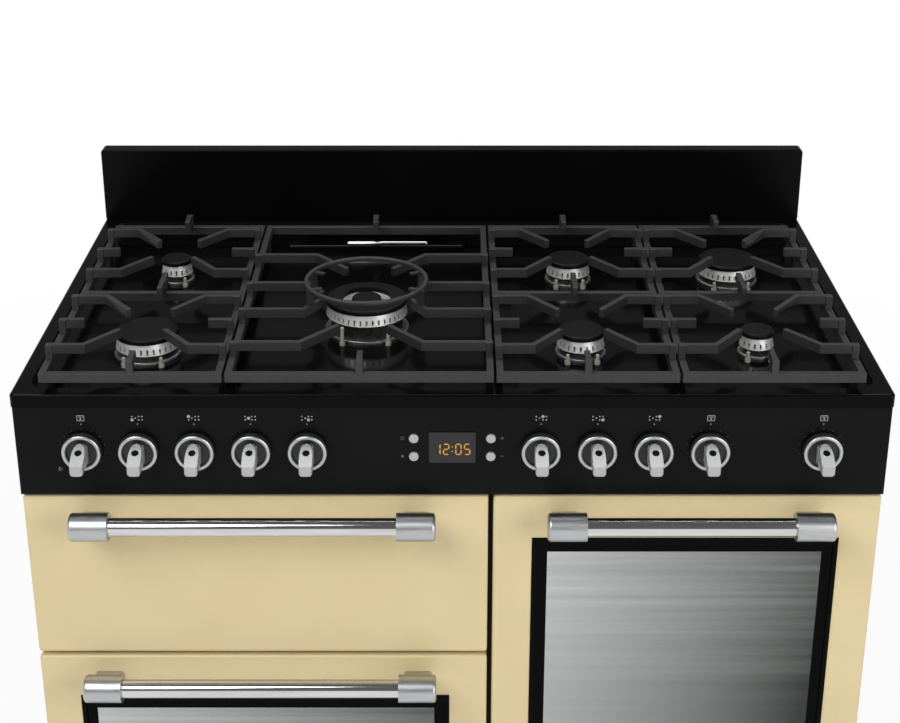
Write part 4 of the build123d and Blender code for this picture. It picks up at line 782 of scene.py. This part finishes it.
# %% Oven lamps and flue strip
LAMP_GLASS = [(24.0, 0.0), (24.0, 2.5), (22.5, 4.0), (20.0, 4.5), (19.0, 7.0), (15.0, 10.5),
              (8.0, 12.5), (1.0, 13.0)]
LAMP_DROP = 105.0        # lamp below the oven's roof
SHEET = 1.2              # thickness of the oven liner's rear sheet
STRIP = [(0.8, -56.0), (2.3, -55.0), (2.8, -53.0), (2.8, 53.0), (2.3, 55.0), (0.8, 56.0)]
STRIP_FROM_REAR = 137.0  # hob's rear edge to the strip
STRIP_ABOVE_RIM = 4.0    # the vent's upper face is 3 mm above the hob's rim
STRIP_RIGHT = 16.0       # strip to the right of the wok burner's middle


def smooth_sides(made):
    """Shades the sides of a spun piece round and leaves its two ends flat."""
    for face in made.data.polygons:
        face.use_smooth = len(face.vertices) == 4


for oven in ("left", "right"):
    high = box_mm(f"{oven}_oven_liner")[1]
    lamp_place = (middle_mm(f"{oven}_oven_liner").x, high.y - SHEET, high.z - LAMP_DROP)
    smooth_sides(spun(f"{oven}_oven_lamp", LAMP_GLASS, 32, lamp_place, (0, -1, 0), lamp_glass, "cabinet"))
# The flue strip stands in for a highlight on the vent: a chrome rod set where that highlight lies.
strip_y = box_mm("hob_top")[1].y - STRIP_FROM_REAR
strip_place = (wok.x + STRIP_RIGHT, strip_y, hob_rim + STRIP_ABOVE_RIM)
smooth_sides(spun("flue_highlight_strip", STRIP, 20, strip_place, (1, 0, 0), bar_chrome, "cabinet"))
print("oven lamps and flue strip fitted")

# %% [markdown]
# ## Studio
# The photograph has a white ground and soft light from above and the front. The floor is mostly
# white paper to the camera, with a share of real shadow near the cooker, and turns pure white
# further off, so that it runs into the white of the world. The world is white to the camera. To
# mirrors and as a lamp it is bright at the horizon and dim above it, which gives polished bars
# their dark and bright bands. Three broad area lamps give long, soft highlights.

# %% Floor
FLOOR_REACH = 12.0       # metres from the middle to each side
WASH = 1250.0            # size of the faint patches in the floor's tone
SHADOW_NEAR = 1.0        # metres within which the floor shows most of its shadow
SHADOW_FAR = 2.6         # metres beyond which it is pure white
PAPER_SHARE = 0.9        # share of pure white near the cooker


def seen_rays(tree):
    """One for rays from the camera, from mirrors and through glass, zero for rays of light."""
    ray = add(tree, "ShaderNodeLightPath")
    direct = add(tree, "ShaderNodeMath", {"operation": "ADD", "use_clamp": True},
                 links={0: ray.outputs["Is Camera Ray"], 1: ray.outputs["Is Glossy Ray"]})
    every = add(tree, "ShaderNodeMath", {"operation": "ADD", "use_clamp": True},
                links={0: direct.outputs["Value"], 1: ray.outputs["Is Transmission Ray"]})
    return every.outputs["Value"]


floor_paint, tree, shader, place = start_material("white_studio_floor", {"Roughness": 0.9})
feed(tree, shader, {"Base Color": tones(tree, noise(tree, place, WASH), "#f4f4f4", "#fafafa")})
paper = add(tree, "ShaderNodeEmission", values={"Color": (1, 1, 1, 1), "Strength": 1.0})
away = add(tree, "ShaderNodeVectorMath", {"operation": "LENGTH"}, links={0: place})
fade = remap(tree, away.outputs["Value"], (PAPER_SHARE, 1.0), (SHADOW_NEAR, SHADOW_FAR))
share = combine(tree, "MULTIPLY", seen_rays(tree), fade)
blend = add(tree, "ShaderNodeMixShader",
            links={0: share, 1: shader.outputs["BSDF"], 2: paper.outputs["Emission"]})
tree.links.new(blend.outputs["Shader"], tree.nodes["Material Output"].inputs["Surface"])
mesh = bpy.data.meshes.new("studio_floor")
corners = [(x * FLOOR_REACH, y * FLOOR_REACH, 0) for x, y in ((-1, -1), (1, -1), (1, 1), (-1, 1))]
mesh.from_pydata(corners, [], [(0, 1, 2, 3)])
floor = bpy.data.objects.new("studio_floor", mesh)
floor.data.materials.append(floor_paint)
bpy.context.scene.collection.objects.link(floor)
print("floor", 2 * FLOOR_REACH, "m wide")

# %% World
AMBIENT = 0.85           # strength of the world as a lamp
SKY_BAND = (0.02, 0.22)  # heights of a direction between which the world grows dim
SKY_DIM = 0.14
world = bpy.data.worlds.new("studio_world")
bpy.context.scene.world = world
world.use_nodes = True
tree = world.node_tree
tree.nodes.clear()
strength = remap(tree, seen_rays(tree), (AMBIENT, 1.0))
direction = add(tree, "ShaderNodeSeparateXYZ",
                links={"Vector": add(tree, "ShaderNodeTexCoord").outputs["Generated"]})
sky = remap(tree, direction.outputs["Z"], (1.0, SKY_DIM), SKY_BAND)
shade = combine(tree, "MAXIMUM", sky, add(tree, "ShaderNodeLightPath").outputs["Is Camera Ray"])
light = add(tree, "ShaderNodeBackground", values={"Color": (1, 1, 1, 1)},
            links={"Strength": combine(tree, "MULTIPLY", strength, shade)})
add(tree, "ShaderNodeOutputWorld", links={"Surface": light.outputs["Background"]})
print("world nodes:", len(tree.nodes))

# %% Lamps
def softbox(name, place, target, size, power):
    """A broad area lamp that faces a target, in metres and watts."""
    data = bpy.data.lights.new(name, "AREA")
    data.shape = "RECTANGLE"
    data.size, data.size_y = size
    data.energy = power
    lamp = bpy.data.objects.new(name, data)
    lamp.location = place
    lamp.rotation_mode = "QUATERNION"
    lamp.rotation_quaternion = (Vector(target) - Vector(place)).to_track_quat("-Z", "Y")
    bpy.context.scene.collection.objects.link(lamp)


softbox("key_softbox", (-1.6, -2.2, 3.2), (0, 0, 0.8), (2.4, 1.6), 74)
softbox("fill_softbox", (2.2, -2.6, 2.0), (0, 0, 0.7), (2.0, 2.0), 52)
softbox("top_softbox", (0, 0.85, 3.4), (0, 0, 0.9), (2.6, 1.2), 46)

# %% [markdown]
# ## Camera
# The photograph was taken from above the front, with a longish lens. The focal length, the place
# and the tilt come from matching the hob's corners, the splashback and the knobs; a small shift
# sets the height of the image, as the picture was cropped.

# %% Camera
FRAME_WIDE = 900.0
FRAME_TALL = 723.0
FOCAL = 1679.0           # in pixels of the 900-pixel frame
TILT = 21.94             # degrees below the horizon
PRINCIPAL = 277.4        # row of the optical axis
SENSOR = 36.0
CAMERA_SIDE = -2.6       # camera from the cooker's middle plane
CAMERA_AWAY = 1702.9     # in front of the hob's front edge
CAMERA_RISE = 825.7      # above the hob's rim
data = bpy.data.cameras.new("photo_camera")
data.sensor_width = SENSOR
data.lens = FOCAL / FRAME_WIDE * SENSOR
data.shift_y = (PRINCIPAL - FRAME_TALL / 2) / FRAME_WIDE
camera = bpy.data.objects.new("photo_camera", data)
camera.location = Vector((CAMERA_SIDE, hob_face - CAMERA_AWAY, hob_rim + CAMERA_RISE)) * MM
camera.rotation_euler = (math.radians(90 - TILT), 0, 0)
bpy.context.scene.collection.objects.link(camera)
bpy.context.scene.camera = camera
bpy.context.scene.view_settings.view_transform = "Standard"
print("lens", round(data.lens, 1), "mm, shift", round(data.shift_y, 3))
